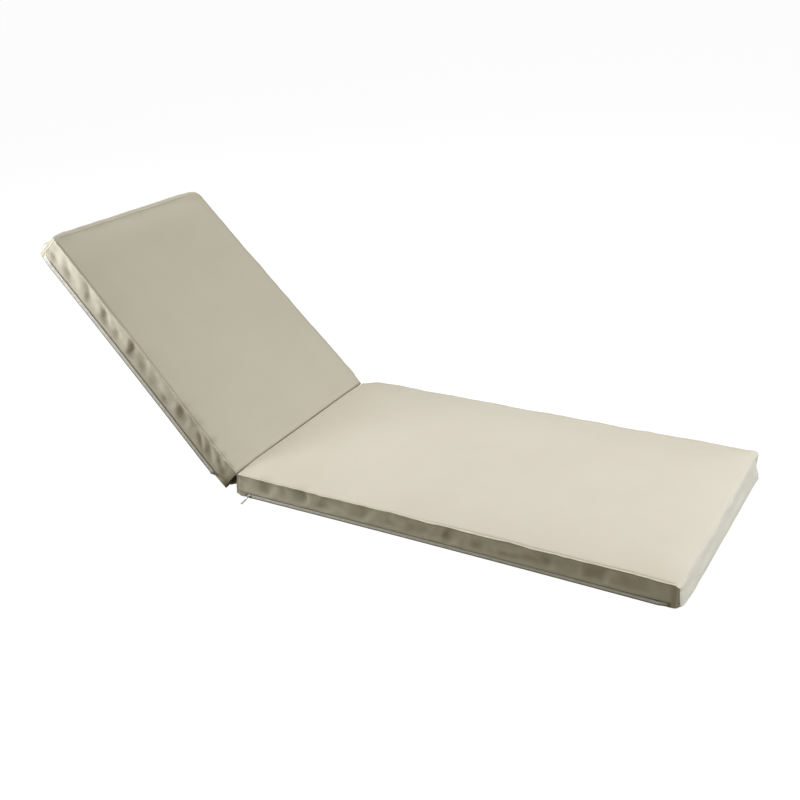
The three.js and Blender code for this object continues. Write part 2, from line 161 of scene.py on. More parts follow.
# The two filled sections, each in its own frame: X from the fold, Z = 0 at the zip side's upper seam.
# Each row gives the seat section's value and the back section's
sectionSizes = {
    "name": ("seat_cover", "back_cover"),
    "node": ("seat_pad", "back_pad"),
    "place": (seatPlace, backPlace),
    "length": (cushion["seatLength"], cushion["backLength"]),
    "thickness": (cushion["seatThickness"], cushion["backThickness"]),
    "zipSide": (-1, 1),  # which way across the zips lie
    "freeEnd": ("footEnd", "topEnd"),
    "crown": (9, 8),
    "reach": (95, 85),  # how far in from the edges the crown rises
    "foldShare": (0.75, 0.8),  # share of the crown that is left at the fold
    "farRise": (13, 0),  # how much fuller the side away from the zips is
    "foldReach": (45, 60),
    "rearCrown": (0, 5),
    "twist": (0, cushion["backTwist"]),
    "flare": (8, 0),  # how far the lower edge stands out at the fold
    "zipStop": (0, 7),  # how much nearer to the free end the zip's channel runs
    "lowOut": (1.5, 3.5),  # how far out and down the zip's edge hangs
    "lowDrop": (0, 2.5),
    "zipCorner": (6, 13),  # how round the free end's corners are
    "plainCorner": (7, 24),
    "ear": (3.2, 0),  # the plain corner's pinched ridge and the notch in it
    "earNotch": (2.6, 0),
    "dimples": (seatDimples, backDimples),
    "dimpleGain": (1.2, 1.15),
    # The next three rows are painted shade: at the bottom of the dimples, and painted shadow lines above
    # the zip and at its lower edge
    "dimpleShade": (0.5, 0.36),
    "zipPaintedShadow": ((0.85, 1.0), (0.35, 0.2)),  # the line above the zip, at the fold and at the free end
    "edgePaintedShadow": ((0.95, 1.0), (0.9, 0.6)),  # the same at the zip's lower edge
    "tapeFlat": (0, 0.7),  # how much flatter the zip lies
    "hemFull": (0, 2.0),  # how far the hem is filled out
    "sliderOut": (3.8, 3.4),  # how far out the slider sits
    "overSeam": (0.2, 0.55),  # how much of a dimple runs on over the upper seam
    "endDimples": (footDimples, []),
    "sidePuckers": ({"count": 17, "deep": 1.6}, {"count": 13, "deep": 2.0}),
    "endPuckers": ({"count": 7, "deep": 1.4}, {"count": 9, "deep": 1.6}),
    "seamWave": (1.2, 1.0),
    "ripple": (2.2, 1.4),  # puckers beside the seams, then at the free end and near the fold
    "endRipple": (0.7, 1.4),
    "foldRipple": (0, 1.8),
    "crumple": (2.2, 3.2),
    "endRoll": (12, 4),  # how round the free end's upper edge is
    "endBulge": (3, 11),  # how full the free end is, then its rear edge
    "rearBulge": (0, 8),
    "endFade": (6, 25),
    # endShade and rimShade paint shade: a line by the free end's upper seam and a dark line at its rear
    # edge
    "endShade": (0, 0.12),
    "rimShade": (0, 0.9),
    "headLip": (0.8, 0.1),  # the upright seam at the fold
    # headLines and cornerLines paint highlights and shade streaks beside the upright seams at the fold and
    # at the free end; headShade paints shade into the wedge under the fold
    "headLines": (0.7, 0),
    "headShade": (0, 1.0),
    "cornerLines": (1, 0),
    "headLift": (9, 0),  # how far the lower corners rise, and how far the back's one draws in
    "headDrop": (0, 9),
    "footLift": (9, 0),
    # The lip and the painted shade of the near upper seam, fainter towards the fold
    "zipLip": ({"low": 0.0, "from": 430, "to": 640}, {"low": 0.1, "from": 500, "to": 2500}),
    "zipShade": ({"low": 0.0, "from": 520, "to": 700}, {"low": 0.5, "from": 150, "to": 500}),
    "farLip": (0.2, 0.2),
    "endLip": (0.0, 0.1),
    "seed": (3, 11),
    "sliderAt": (39, 45),
    "zipFrom": (30.6, 35.5),
    "zipTo": (1124, 742),
    "tape": ("seat_zip_tape", "back_zip_tape"),
    "coil": ("seat_zip_coil", "back_zip_coil"),
    "zipNode": ("seat_zip", "back_zip"),
    "sliderNode": ("seat_zip_slider", "back_zip_slider"),
}
seatSection, backSection = ({key: pair[n] for key, pair in sectionSizes.items()} for n in (0, 1))
sides = {"drawIn": 3, "waist": 4, "waistReach": 45, "flareReach": 35, "crownBend": 2.4, "foldLift": 15}
# How much of a seam's lip shows on each face beside it
lipShares = {"top": 0.7, "rear": 0.5, "low": 0.6, "farCorner": 0.9, "endCorner": 0.6}
# A slow wave of the upper edges, the swell of the even puckers and the uneven ones beside each seam
edgeWave = {"along": 31, "across": 23, "slow": 87, "start": 2, "reach": 14, "from": 0.6}
puckerSwell = {"least": 0.6, "more": 0.4, "turns": 2.3, "start": 1}
rippleForm = {
    "fine": 11,
    "fineRow": 7.3,
    "fineShare": 0.6,
    "slow": 34,
    "slowRow": 3.1,
    "slowSeed": 5,
    "topShare": 0.6,
    "reach": 16,
    "foldReach": 190,
}
rippleSeams = {"right": 1, "left": 2, "zipSide": 3, "farSide": 4, "end": 5}
bulgeForm = {"taper": 0.6, "rearTo": 0.3}
# Where the painted shade and painted highlights lie on the cover
shadeForm = {
    "freeFade": 20,
    "endFade": 30,
    "endAt": 3,
    "endWide": 3,
    "rimAt": 2,
    "rimWide": 9,
    "hemOver": 0.4,
    "hemUnder": 0.6,
    "headFull": 1.3,
    "wedgeReach": 12,
}
corner = {
    "reach": 16,
    "across": 40,
    "dropReach": 40,
    "tuckIn": 5,
    "ridge": 2.3,
    "ridgeAt": 5,
    "ridgeWide": 1.2,
    "earReach": 14,
    "notchAt": 0.42,
    "notchWide": 0.12,
    "headReach": 17,
}
# Painted highlights on pale ridges and painted shade in dark streaks beside an upright corner seam. at:
# from the free end
cornerStreaks = table(
    "at wide shade",
    (1.4, 2.2, -1.0),
    (4.6, 0.9, 0.7),
    (7.0, 1.3, -0.8),
    (10.5, 2.0, 0.4),
    (17, 3.5, 0.25),
)
dimpleForm = {"wide": 1.25, "tall": 1.1, "full": 7, "over": 14, "overReach": 15, "overAlong": 260}
warp = {"along": 8, "up": 6, "scale": 26, "upShift": 40, "crumpleScale": 1.3, "crumpleShift": 20}
# The crease along the fold: deep and wide shape it; the other values paint shade into the crease and into
# the wedge below it
crease = {
    "deep": 4.5,
    "wide": 4,
    "shade": 0.85,
    "shadeWide": 2.6,
    "nearShare": 0.35,
    "from": 0.08,
    "fade": 0.25,
    "wedgeShade": 0.9,
}


def clamp(value, low=0.0, high=1.0):
    return min(max(value, low), high)


def bell(distance, width):
    return math.exp(-((distance / width) ** 2))


# A smooth curve through a table's rows, from the column "key" to the column "value"
def throughRows(rows, key, value, at):
    last = len(rows) - 1
    n = 0
    while n < last - 1 and at > rows[n + 1][key]:
        n += 1
    low, high = rows[n], rows[n + 1]
    before, after = rows[max(n - 1, 0)], rows[min(n + 2, last)]
    span = high[key] - low[key]
    t = clamp((at - low[key]) / span)
    slopeLow = (high[value] - before[value]) / (high[key] - before[key]) * span
    slopeHigh = (after[value] - low[value]) / (after[key] - low[key]) * span
    rise = high[value] - low[value]
    bend = slopeLow + slopeHigh - 2 * rise
    return low[value] + t * (slopeLow + t * (3 * rise - 2 * slopeLow - slopeHigh + t * bend))


def halfWidth(pad, x):
    t = x / pad["length"]
    waist = sides["waist"] * bell(x, sides["waistReach"])
    return halfCushion - sides["drawIn"] * 4 * t * (1 - t) - waist


def riseFrom(distance, reach):
    return 1 - (1 - clamp(distance / reach)) ** sides["crownBend"]


def fullness(pad, x, y):
    across = (1 - pad["zipSide"] * y / halfCushion) / 2
    return pad["farRise"] * across * (1 - bell(x, pad["foldReach"]))


def crownHeight(pad, x, y, height):
    fromFold = pad["foldShare"] + (1 - pad["foldShare"]) * riseFrom(x, pad["reach"])
    fromFreeEnd = riseFrom(pad["length"] - x, pad["reach"])
    return height * fromFold * fromFreeEnd * riseFrom(halfCushion - abs(y), pad["reach"])


# Dimples with wandering outlines, over a slow crumple of the cloth
def foldDepth(pad, dimples, at, up):
    here = Vector((at / warp["scale"], up / warp["scale"], pad["seed"]))
    at += warp["along"] * noise.noise(here)
    up += warp["up"] * noise.noise(here + Vector((warp["upShift"], 0, 0)))
    crumpled = here * warp["crumpleScale"] + Vector((0, warp["crumpleShift"], 0))
    depth = pad["crumple"] * noise.noise(crumpled)
    for dimple in dimples:
        along = at - dimple["at"] - dimple["lean"] * (up - dimple["up"])
        sharp = clamp(along * dimple["sharp"], 0, 1) * abs(dimple["sharp"])
        wide = dimpleForm["wide"] * dimple["wide"] * (1 - sharp)
        tall = dimpleForm["tall"] * dimple["tall"]
        depth += pad["dimpleGain"] * dimple["deep"] * bell(along, wide) * bell(up - dimple["up"], tall)
    return depth


def pucker(waves, share):
    turn = 2 * math.pi * share
    swell = puckerSwell["more"] * math.sin(turn * puckerSwell["turns"] + puckerSwell["start"])
    return waves["deep"] * (puckerSwell["least"] + swell) * math.sin(waves["count"] * turn)


# How far a seam's lip stands out at a distance from its line
def seamLip(distance):
    valley = seam["valley"] * bell(distance - seam["valleyAt"], seam["valleyWide"])
    return seam["stand"] * bell(distance, seam["wide"]) - valley


def ramp(rows, x):
    return rows["low"] + (1 - rows["low"]) * clamp((x - rows["from"]) / (rows["to"] - rows["from"]))


# How much of the lip shows at the upper seam that is nearest to a place on the panel
def lipShare(pad, x, y):
    if pad["length"] - x < halfCushion - abs(y):
        return pad["endLip"]
    if y * pad["zipSide"] < 0:
        return pad["farLip"]
    return ramp(pad["zipLip"], x)


# Small uneven puckers that the sewing draws in beside a seam
def seamRipple(pad, along, distance, where):
    row = rippleSeams[where]
    fine = noise.noise(Vector((along / rippleForm["fine"], row * rippleForm["fineRow"], pad["seed"])))
    slowSeed = pad["seed"] + rippleForm["slowSeed"]
    slow = noise.noise(Vector((along / rippleForm["slow"], row * rippleForm["slowRow"], slowSeed)))
    deep = pad["ripple"] + pad["foldRipple"] * bell(along, rippleForm["foldReach"])
    if where == "end":
        deep = pad["endRipple"]
    return deep * (rippleForm["fineShare"] * fine + slow) * bell(distance, rippleForm["reach"])


# How much of the zip's channel and hem there is: it ends short of the section's corners
def channelShare(pad, x):
    fromFree = pad["length"] - x - hem["fromFree"] + pad["zipStop"]
    return clamp(fromFree / hem["fade"]) * clamp((x - hem["fromFold"]) / hem["fade"])


# How deep the boxing's dimples run on over the seam into the panel
def overSeamDepth(pad, x, fromSide):
    depth = foldDepth(pad, pad["dimples"], x, pad["thickness"] - dimpleForm["over"])
    return depth * bell(fromSide, dimpleForm["overReach"]) * bell(x, dimpleForm["overAlong"])


def zipSideReach(pad, x, rowOut, up):
    flare = pad["flare"] * (1 - up) * bell(x, sides["flareReach"])
    return halfWidth(pad, x) + rowOut + flare + pad["lowOut"] * (1 - up) ** 2


def twisted(pad, x, y, z):
    turn = pad["twist"] * x / pad["length"]
    across = y * math.cos(turn) - z * math.sin(turn)
    return Vector((x, across, y * math.sin(turn) + z * math.cos(turn)))


def roundCorner(pad, x, y):
    r = pad["zipCorner"] if y * pad["zipSide"] > 0 else pad["plainCorner"]
    a = (x - (pad["length"] - r)) / r
    b = (abs(y) - (halfCushion - r)) / r
    if a <= 0 or b <= 0:
        return x, y
    roundX = pad["length"] - r + r * a * math.sqrt(1 - b * b / 2)
    roundY = halfCushion - r + r * b * math.sqrt(1 - a * a / 2)
    return roundX, math.copysign(roundY, y)


# Rounds the upper edge of the free end into an arc whose middle is the seam
def rollEnd(pad, fromFree, fromUpper):
    a = clamp(1 - fromFree / pad["endRoll"])
    b = clamp(1 - fromUpper / pad["endRoll"])
    shiftX = pad["endRoll"] * a * (math.sqrt(1 - b * b / 2) - 1)
    shiftZ = pad["endRoll"] * b * (math.sqrt(1 - a * a / 2) - 1)
    return shiftX, shiftZ


# Mesh lines: close together beside the seams, even steps between
def meshLines(length, low, high, step):
    start, end = low[-1], length - high[-1]
    count = max(round((end - start) / step), 1)
    between = [start + (end - start) * n / count for n in range(1, count)]
    return low + between + [length - offset for offset in reversed(high)]


# A closed block of cells whose vertices lie at whole numbers
def cellBlock(cells):
    block = bmesh.new()
    bmesh.ops.create_cube(block, size=1)
    for axis, count in enumerate(cells):
        lines = [e for e in block.edges if abs((e.verts[0].co - e.verts[1].co)[axis]) > 0.9]
        bmesh.ops.subdivide_edges(block, edges=lines, cuts=count - 1)
    for vert in block.verts:
        vert.co = [round((vert.co[axis] + 0.5) * cells[axis]) for axis in range(3)]
    return block


# Where a point of a section's skin lies, from its flat place: x along, y across, up the boxing.
# on says which faces of the section the point belongs to
def skinPoint(pad, x, y, up, on):
    share = up / pad["thickness"]
    fromSide = halfCushion - abs(y)
    fromFree = pad["length"] - x
    fromUpper = pad["thickness"] - up
    planX, planY = roundCorner(pad, x, y)
    planY *= halfWidth(pad, x) / halfCushion
    z = -pad["thickness"] + share * (pad["thickness"] + fullness(pad, x, y))
    lipHere = lipShare(pad, x, y)
    if on["top"]:
        fromSeam = min(fromSide, fromFree)
        z += crownHeight(pad, x, y, pad["crown"]) + lipShares["top"] * lipHere * seamLip(fromSeam)
        z -= crease["deep"] * bell(x, crease["wide"])
        along = x if fromSide < fromFree else y
        z += rippleForm["topShare"] * seamRipple(pad, along, fromSeam, "right" if y > 0 else "left")
        if y * pad["zipSide"] > 0:
            z -= pad["overSeam"] * overSeamDepth(pad, x, fromSide)
        lift = max(crownHeight(pad, 0, y, pad["crown"]) - crease["deep"], 0)
        planX += lift * math.tan(cushion["backAngle"] / 2) * clamp(1 - x / sides["foldLift"])
    if on["rear"] and pad["rearCrown"]:
        z -= crownHeight(pad, x, y, pad["rearCrown"]) + lipShares["rear"] * seamLip(min(fromSide, fromFree))
    if not on["fold"]:
        topShare = clamp((share - edgeWave["from"]) / (1 - edgeWave["from"]))
        wave = math.sin(x / edgeWave["along"] + y / edgeWave["across"])
        wave *= pad["seamWave"] * math.sin(x / edgeWave["slow"] + edgeWave["start"])
        z += wave * bell(min(fromSide, fromFree), edgeWave["reach"]) * topShare
    rollX, rollZ = rollEnd(pad, fromFree, fromUpper)
    planX += rollX
    z += rollZ
    lip = lipHere * seamLip(fromUpper)
    if on["zipSide"]:
        rowOut = throughRows(boxing, "up", "zipSide", share)
        out = zipSideReach(pad, x, rowOut, share) - halfWidth(pad, x)
        out -= throughRows(boxing, "up", "soft", share) * foldDepth(pad, pad["dimples"], x, up)
        channel = channelShare(pad, x)
        if up > hem["under"]:
            out += channel * hem["stand"] * bell(up - hem["at"], hem["wide"])
            out += channel * pad["hemFull"] * bell(up - hem["fullAt"], hem["fullWide"])
        out += (1 - channel) * hem["fill"] * clamp(1 - share / hem["fillTo"])
        out += lip + seamLip(fromFree) + pad["headLip"] * seamLip(x)
        out += seamRipple(pad, x, fromUpper, "zipSide")
        out += corner["ridge"] * bell(fromFree - corner["ridgeAt"], corner["ridgeWide"])
        planY += pad["zipSide"] * out
    if on["farSide"]:
        out = throughRows(boxing, "up", "plainSide", share) + lip + lipShares["low"] * seamLip(up)
        out -= throughRows(boxing, "up", "soft", share) * pucker(pad["sidePuckers"], x / pad["length"])
        out += lipShares["farCorner"] * seamLip(fromFree)
        out += seamRipple(pad, x, min(up, fromUpper), "farSide")
        planY -= pad["zipSide"] * out
    if on["free"]:
        soft = throughRows(boxing, "up", "soft", share)
        out = throughRows(boxing, "up", pad["freeEnd"], share) + lip + lipShares["low"] * seamLip(up)
        out -= soft * pucker(pad["endPuckers"], y / cushion["width"])
        out -= soft * foldDepth(pad, pad["endDimples"], -pad["zipSide"] * y, up)
        bulge = pad["endBulge"] * (1 - bulgeForm["taper"] * share)
        bulge += pad["rearBulge"] * clamp(1 - share / bulgeForm["rearTo"])
        out += bulge * (1 - bell(fromSide, pad["endFade"]))
        out += lipShares["endCorner"] * seamLip(fromSide)
        planX += out + seamRipple(pad, y, min(up, fromUpper), "end")
    if pad["ear"]:
        fromPlainSide = halfCushion + pad["zipSide"] * y
        ear = pad["ear"] - pad["earNotch"] * bell(share - corner["notchAt"], corner["notchWide"])
        ear *= bell(fromPlainSide, corner["earReach"]) * bell(fromFree, corner["earReach"])
        planX += ear
        planY -= pad["zipSide"] * ear
    fromZipSide = halfCushion - pad["zipSide"] * y
    z -= pad["lowDrop"] * (1 - share) ** 2 * bell(fromZipSide, corner["across"])
    low = (1 - share) * bell(fromZipSide, corner["across"])
    z += low * pad["headLift"] * clamp(1 - x / corner["reach"]) ** 2
    z += low * pad["footLift"] * clamp(1 - fromFree / corner["reach"]) ** 2
    if pad["headDrop"]:
        near = low * (1 - share) * bell(x, corner["dropReach"])
        planX -= pad["headDrop"] * near
        planY -= pad["zipSide"] * corner["tuckIn"] * near
    return twisted(pad, planX, planY, z)


# How dark a painted shadow line beside the zip is at x, above it or at its lower edge, from the fold to the
# free end
def darkAt(pad, key, x):
    fromFold, fromFree = pad[key]
    return fromFold + (fromFree - fromFold) * x / pad["length"]


# How much painted shade darkens the cloth at the bottom of a dimple
def dimpleShade(pad, x, up):
    soft = throughRows(boxing, "up", "soft", up / pad["thickness"])
    return clamp(soft * foldDepth(pad, pad["dimples"], x, up) / dimpleForm["full"])


# Painted shade in a seam's valley, under a hem, in the dimples, the crease and the wedge at the fold; below
# 0 a painted highlight makes a ridge paler
def seamShade(pad, x, y, up, on):
    fromSide, fromFree, fromUpper = halfCushion - abs(y), pad["length"] - x, pad["thickness"] - up
    shade = 0
    if on["top"] and y * pad["zipSide"] > 0:
        # Painted shade in the valley beside the near upper seam, and where the dimples run on into the
        # panel
        shade = seam["shade"] * ramp(pad["zipShade"], x) * clamp(fromFree / shadeForm["freeFade"])
        shade *= bell(fromSide - seam["valleyAt"], seam["valleyWide"])
        shade += pad["overSeam"] * clamp(overSeamDepth(pad, x, fromSide) / dimpleForm["full"])
    if on["free"]:
        # Painted shade at the free end: a line by its upper seam and a dark line at its rear edge
        valley = pad["endShade"] * bell(fromUpper - shadeForm["endAt"], shadeForm["endWide"])
        rim = pad["rimShade"] * bell(up - shadeForm["rimAt"], shadeForm["rimWide"])
        shade = max(valley, rim) * (1 - bell(fromSide, shadeForm["endFade"]))
    if on["zipSide"]:
        # Painted shade at the bottom of the dimples
        shade = pad["dimpleShade"] * dimpleShade(pad, x, up)
        # Painted highlights and shade streaks beside the upright seams
        for streak in cornerStreaks:
            shade += pad["cornerLines"] * streak["shade"] * bell(fromFree - streak["at"], streak["wide"])
            shade += pad["headLines"] * streak["shade"] * bell(x - streak["at"], streak["wide"])
        channel = channelShare(pad, x)
        # A painted highlight along the hem, and painted shadow under it
        shade -= channel * hem["light"] * bell(up - hem["at"] - shadeForm["hemOver"], hem["lightWide"])
        if up < hem["at"] - shadeForm["hemUnder"]:
            shade = max(shade, hem["shade"] * channel * darkAt(pad, "zipPaintedShadow", x))
        # Painted shade in the wedge under the fold
        head = pad["headShade"] * clamp(shadeForm["headFull"] - up / pad["thickness"])
        shade = max(shade, head * bell(x, corner["headReach"]))
    # Painted shade on the folded ends in the wedge
    if on["fold"]:
        shade = max(shade, crease["wedgeShade"] * clamp(fromUpper / shadeForm["wedgeReach"]))
    # Painted shade in the crease along the fold, darker towards the far side
    if on["top"] or on["fold"]:
        across = (1 - pad["zipSide"] * y / halfCushion) / 2
        far = clamp((across - crease["from"]) / crease["fade"])
        depth = crease["shade"] * (crease["nearShare"] + (1 - crease["nearShare"]) * far)
        shade = max(shade, depth * bell(x, crease["shadeWide"]))
    return clamp(shade, -1, 1)


# The section's skin laid over mesh lines, with the flat place of each vertex
def layOut(pad, xLines, yLines, upLines):
    counts = [len(xLines) - 1, len(yLines) - 1, len(upLines) - 1]
    skin = cellBlock(counts)
    places = []
    for vert in skin.verts:
        i, j, k = (round(value) for value in vert.co)
        side = (j == counts[1]) - (j == 0)
        on = {"top": k == counts[2], "rear": k == 0, "free": i == counts[0], "fold": i == 0}
        on["zipSide"] = side == pad["zipSide"]
        on["farSide"] = side == -pad["zipSide"]
        places.append((xLines[i], yLines[j] - halfCushion, upLines[k], on))
    return skin, places


filling = {
    "along": 14,
    "across": 20,
    "up": 9,
    "frames": 20,
    "pressure": 1.5,
    "loose": -0.06,
    "cap": 3.5,
    "near": 8,
    "blend": 9.8,
}


def evenLines(first, last, step):
    count = round((last - first) / step)
    return [first + (last - first) * n / count for n in range(count + 1)]


# Blows up a trial cover with its seams held, and keeps how far its cloth moved
def fillTrial(pad):
    lines = [
        evenLines(cushion["clearance"], pad["length"], filling["along"]),
        evenLines(0, cushion["width"], filling["across"]),
        evenLines(0, pad["thickness"], filling["up"]),
    ]
    skin, places = layOut(pad, *lines)
    for vert, (x, y, up, on) in zip(skin.verts, places):
        vert.co = skinPoint(pad, x, y, up, on)
    skin.transform(pad["place"])
    bmesh.ops.recalc_face_normals(skin, faces=skin.faces)
    trial = toObject("trial_cover", skin)
    sewn = trial.vertex_groups.new(name="sewn")
    loose = trial.vertex_groups.new(name="loose")
    for n, (x, y, up, on) in enumerate(places):
        faces = sum(on.values())
        if faces > 1 or on["fold"] or (on["rear"] and not pad["rearCrown"]):
            sewn.add([n], 1.0, "REPLACE")
        elif not on["top"] and not on["rear"]:
            loose.add([n], 1.0, "REPLACE")
    cloth = trial.modifiers.new("filling", "CLOTH")
    cloth.settings.use_pressure = True
    cloth.settings.uniform_pressure_force = filling["pressure"]
    cloth.settings.effector_weights.gravity = 0
    cloth.settings.vertex_group_mass = "sewn"
    cloth.settings.vertex_group_shrink = "loose"
    cloth.settings.shrink_min = 0
    cloth.settings.shrink_max = filling["loose"]
    cloth.point_cache.frame_start = 1
    cloth.point_cache.frame_end = filling["frames"]
    for frameNumber in range(1, filling["frames"] + 1):
        bpy.context.scene.frame_set(frameNumber)
    blown = trial.evaluated_get(bpy.context.evaluated_depsgraph_get()).data
    toPad = pad["place"].inverted().to_3x3()
    tree = KDTree(len(places))
    moves = []
    for n, (x, y, up, on) in enumerate(places):
        move = toPad @ (blown.vertices[n].co - trial.data.vertices[n].co)
        length = max(move.length, 0.001)
        moves.append(move * filling["cap"] * math.tanh(length / filling["cap"]) / length)
        tree.insert((x, y, up), n)
    tree.balance()
    lengths = sorted(move.length for move in moves)
    middle, most = lengths[len(lengths) // 2], lengths[-1]
    print(pad["name"], "filled, cloth moves", round(middle, 2), "to", round(most, 2), "mm")
    bpy.context.scene.frame_set(1)
    mesh = trial.data
    bpy.data.objects.remove(trial)
    bpy.data.meshes.remove(mesh)
    return tree, moves


def filledMove(trial, x, y, up):
    tree, moves = trial
    total = Vector((0, 0, 0))
    weights = 0
    for place, n, distance in tree.find_n((x, y, up), filling["near"]):
        weight = bell(distance, filling["blend"])
        total += weight * moves[n]
        weights += weight
    return total / max(weights, 0.001)


def buildSection(pad):
    step = meshStep
    xLines = meshLines(pad["length"], [cushion["clearance"]] + seamLines[1:], seamLines, step["along"])
    yLines = meshLines(cushion["width"], seamLines, seamLines, step["across"])
    upLines = meshLines(pad["thickness"], zipLines, seamLines, step["up"])
    trial = fillTrial(pad)
    skin, places = layOut(pad, xLines, yLines, upLines)
    flatUv = skin.loops.layers.uv.new("flat")
    shade = skin.verts.layers.float.new("seamShade")
    skin.verts.index_update()
    for face in skin.faces:
        normal = face.normal
        axis = max(range(3), key=lambda n: abs(normal[n]))
        across, up = {0: (1, 2), 1: (0, 2), 2: (0, 1)}[axis]
        for loop in face.loops:
            place = places[loop.vert.index]
            loop[flatUv].uv = (place[across] * 0.001, place[up] * 0.001)
    for vert, (x, y, up, on) in zip(skin.verts, places):
        # Painted shade and painted highlights for the cover's colour
        vert[shade] = seamShade(pad, x, y, up, on)
        vert.co = skinPoint(pad, x, y, up, on)
        if trial and sum(on.values()) == 1:
            vert.co += filledMove(trial, x, y, up)
    skin.transform(pad["place"])
    bmesh.ops.recalc_face_normals(skin, faces=skin.faces)
    return skin


def toObject(name, skin, smooth=True):
    mesh = bpy.data.meshes.new(name)
    for face in skin.faces:
        face.smooth = smooth
    skin.to_mesh(mesh)
    skin.free()
    piece = bpy.data.objects.new(name, mesh)
    bpy.context.scene.collection.objects.link(piece)
    return piece


def finishPiece(piece, material, slotName, *nodes):
    piece.data.materials.clear()
    piece.data.materials.append(material)
    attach(piece, body)
    if nodes:
        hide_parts(*nodes)


def addSubdivision(piece, levels=1):
    subdivision = piece.modifiers.new("subdivision", "SUBSURF")
    subdivision.levels = levels
    subdivision.render_levels = levels


# Materials
def newMaterial(name, roughness, metallic=0.0):
    material = bpy.data.materials.new(name)
    material.use_nodes = True
    shader = material.node_tree.nodes["Principled BSDF"]
    shader.inputs["Roughness"].default_value = roughness
    shader.inputs["Metallic"].default_value = metallic
    return material, material.node_tree, shader


def addNode(tree, kind, values=None, **settings):
    node = tree.nodes.new(kind)
    for key, value in settings.items():
        setattr(node, key, value)
    for key, value in (values or {}).items():
        if isinstance(value, bpy.types.NodeSocket):
            tree.links.new(value, node.inputs[key])
        else:
            node.inputs[key].default_value = value
    return node


def maths(tree, operation, first, second=None):
    values = {0: first}
    if second is not None:
        values[1] = second
    return addNode(tree, "ShaderNodeMath", values, operation=operation).outputs[0]


def newGroup(name, inputs, outputs):
    group = bpy.data.node_groups.new(name, "ShaderNodeTree")
    for label, kind in inputs:
        group.interface.new_socket(label, in_out="INPUT", socket_type=kind)
    for label, kind in outputs:
        group.interface.new_socket(label, in_out="OUTPUT", socket_type=kind)
    return group, group.nodes.new("NodeGroupInput").outputs, group.nodes.new("NodeGroupOutput").inputs


weaveForm = {"slubLong": 0.6, "slubWide": 0.03, "slubDetail": 2.0, "toneShare": 0.4}
mottleForm = {"detail": 3.0, "roughness": 0.55}


# Plain weave: warp and weft pass over each other in turn, some threads thicker than others
def makeWeave():
    group, given, result = newGroup(
        "plain_weave",
        [("Vector", "NodeSocketVector"), ("Threads", "NodeSocketFloat"), ("Slub", "NodeSocketFloat")],
        [("Height", "NodeSocketFloat"), ("Tone", "NodeSocketFloat")],
    )
    values = {0: given["Vector"], "Scale": given["Threads"]}
    scaled = addNode(group, "ShaderNodeVectorMath", values, operation="SCALE").outputs[0]
    parts = addNode(group, "ShaderNodeSeparateXYZ", {0: scaled}).outputs
    rounds = []
    for axis in (0, 1):
        angle = maths(group, "MULTIPLY", parts[axis], math.pi)
        rounds.append(maths(group, "ABSOLUTE", maths(group, "SINE", angle)))
    checker = addNode(group, "ShaderNodeTexChecker", {"Vector": scaled, "Scale": 1.0})
    values = {0: checker.outputs["Fac"], 2: rounds[0], 3: rounds[1]}
    threads = addNode(group, "ShaderNodeMix", values, data_type="FLOAT").outputs[0]
    slubs = []
    long, wide = weaveForm["slubLong"], weaveForm["slubWide"]
    for stretch in ((wide, long, 1), (long, wide, 1)):
        along = addNode(group, "ShaderNodeMapping", {"Vector": scaled, "Scale": stretch}).outputs[0]
        values = {"Vector": along, "Scale": 1.0, "Detail": weaveForm["slubDetail"]}
        slubs.append(addNode(group, "ShaderNodeTexNoise", values).outputs[0])
    slub = maths(group, "MULTIPLY", maths(group, "ADD", slubs[0], slubs[1]), given["Slub"])
    threadTone = maths(group, "MULTIPLY", threads, weaveForm["toneShare"])
    group.links.new(maths(group, "ADD", threads, slub), result["Height"])
    group.links.new(maths(group, "ADD", threadTone, slub), result["Tone"])
    return group


# Slow, faint change of tone, as dye and handling leave it
def makeMottle():
    group, given, result = newGroup(
        "mottle",
        [("Vector", "NodeSocketVector"), ("Scale", "NodeSocketFloat")],
        [("Fac", "NodeSocketFloat")],
    )
    values = {"Vector": given["Vector"], "Scale": given["Scale"]}
    values.update({"Detail": mottleForm["detail"], "Roughness": mottleForm["roughness"]})
    group.links.new(addNode(group, "ShaderNodeTexNoise", values).outputs[0], result["Fac"])
    return group


weaveGroup = makeWeave()
mottleGroup = makeMottle()


def placeGroup(tree, group, values):
    return addNode(tree, "ShaderNodeGroup", values, node_tree=group).outputs


def placeWeave(tree, look):
    flat = addNode(tree, "ShaderNodeUVMap", uv_map="flat").outputs[0]
    values = {"Vector": flat, "Threads": look["threads"], "Slub": look["slub"]}
    return placeGroup(tree, weaveGroup, values)


def placeMottle(tree, look):
    place = addNode(tree, "ShaderNodeTexCoord").outputs["Object"]
    return placeGroup(tree, mottleGroup, {"Vector": place, "Scale": look["mottleScale"]})["Fac"]


def addBump(tree, shader, height, look):
    values = {"Height": height, "Strength": look["bump"], "Distance": look["bumpHeight"]}
    bump = addNode(tree, "ShaderNodeBump", values)
    tree.links.new(bump.outputs[0], shader.inputs["Normal"])


def colourRamp(tree, fac, stops):
    ramp = addNode(tree, "ShaderNodeValToRGB", {"Fac": fac})
    ramp.color_ramp.elements[0].position = stops[0][0]
    ramp.color_ramp.elements[0].color = (*stops[0][1], 1)
    ramp.color_ramp.elements[1].position = stops[-1][0]
    ramp.color_ramp.elements[1].color = (*stops[-1][1], 1)
    for position, colour in stops[1:-1]:
        element = ramp.color_ramp.elements.new(position)
        element.color = (*colour, 1)
    return ramp.outputs["Color"]


# From a material's dark tone to its light one
def toneRamp(tree, fac, look):
    return colourRamp(tree, fac, [(look["darkAt"], look["dark"]), (look["lightAt"], look["light"])])


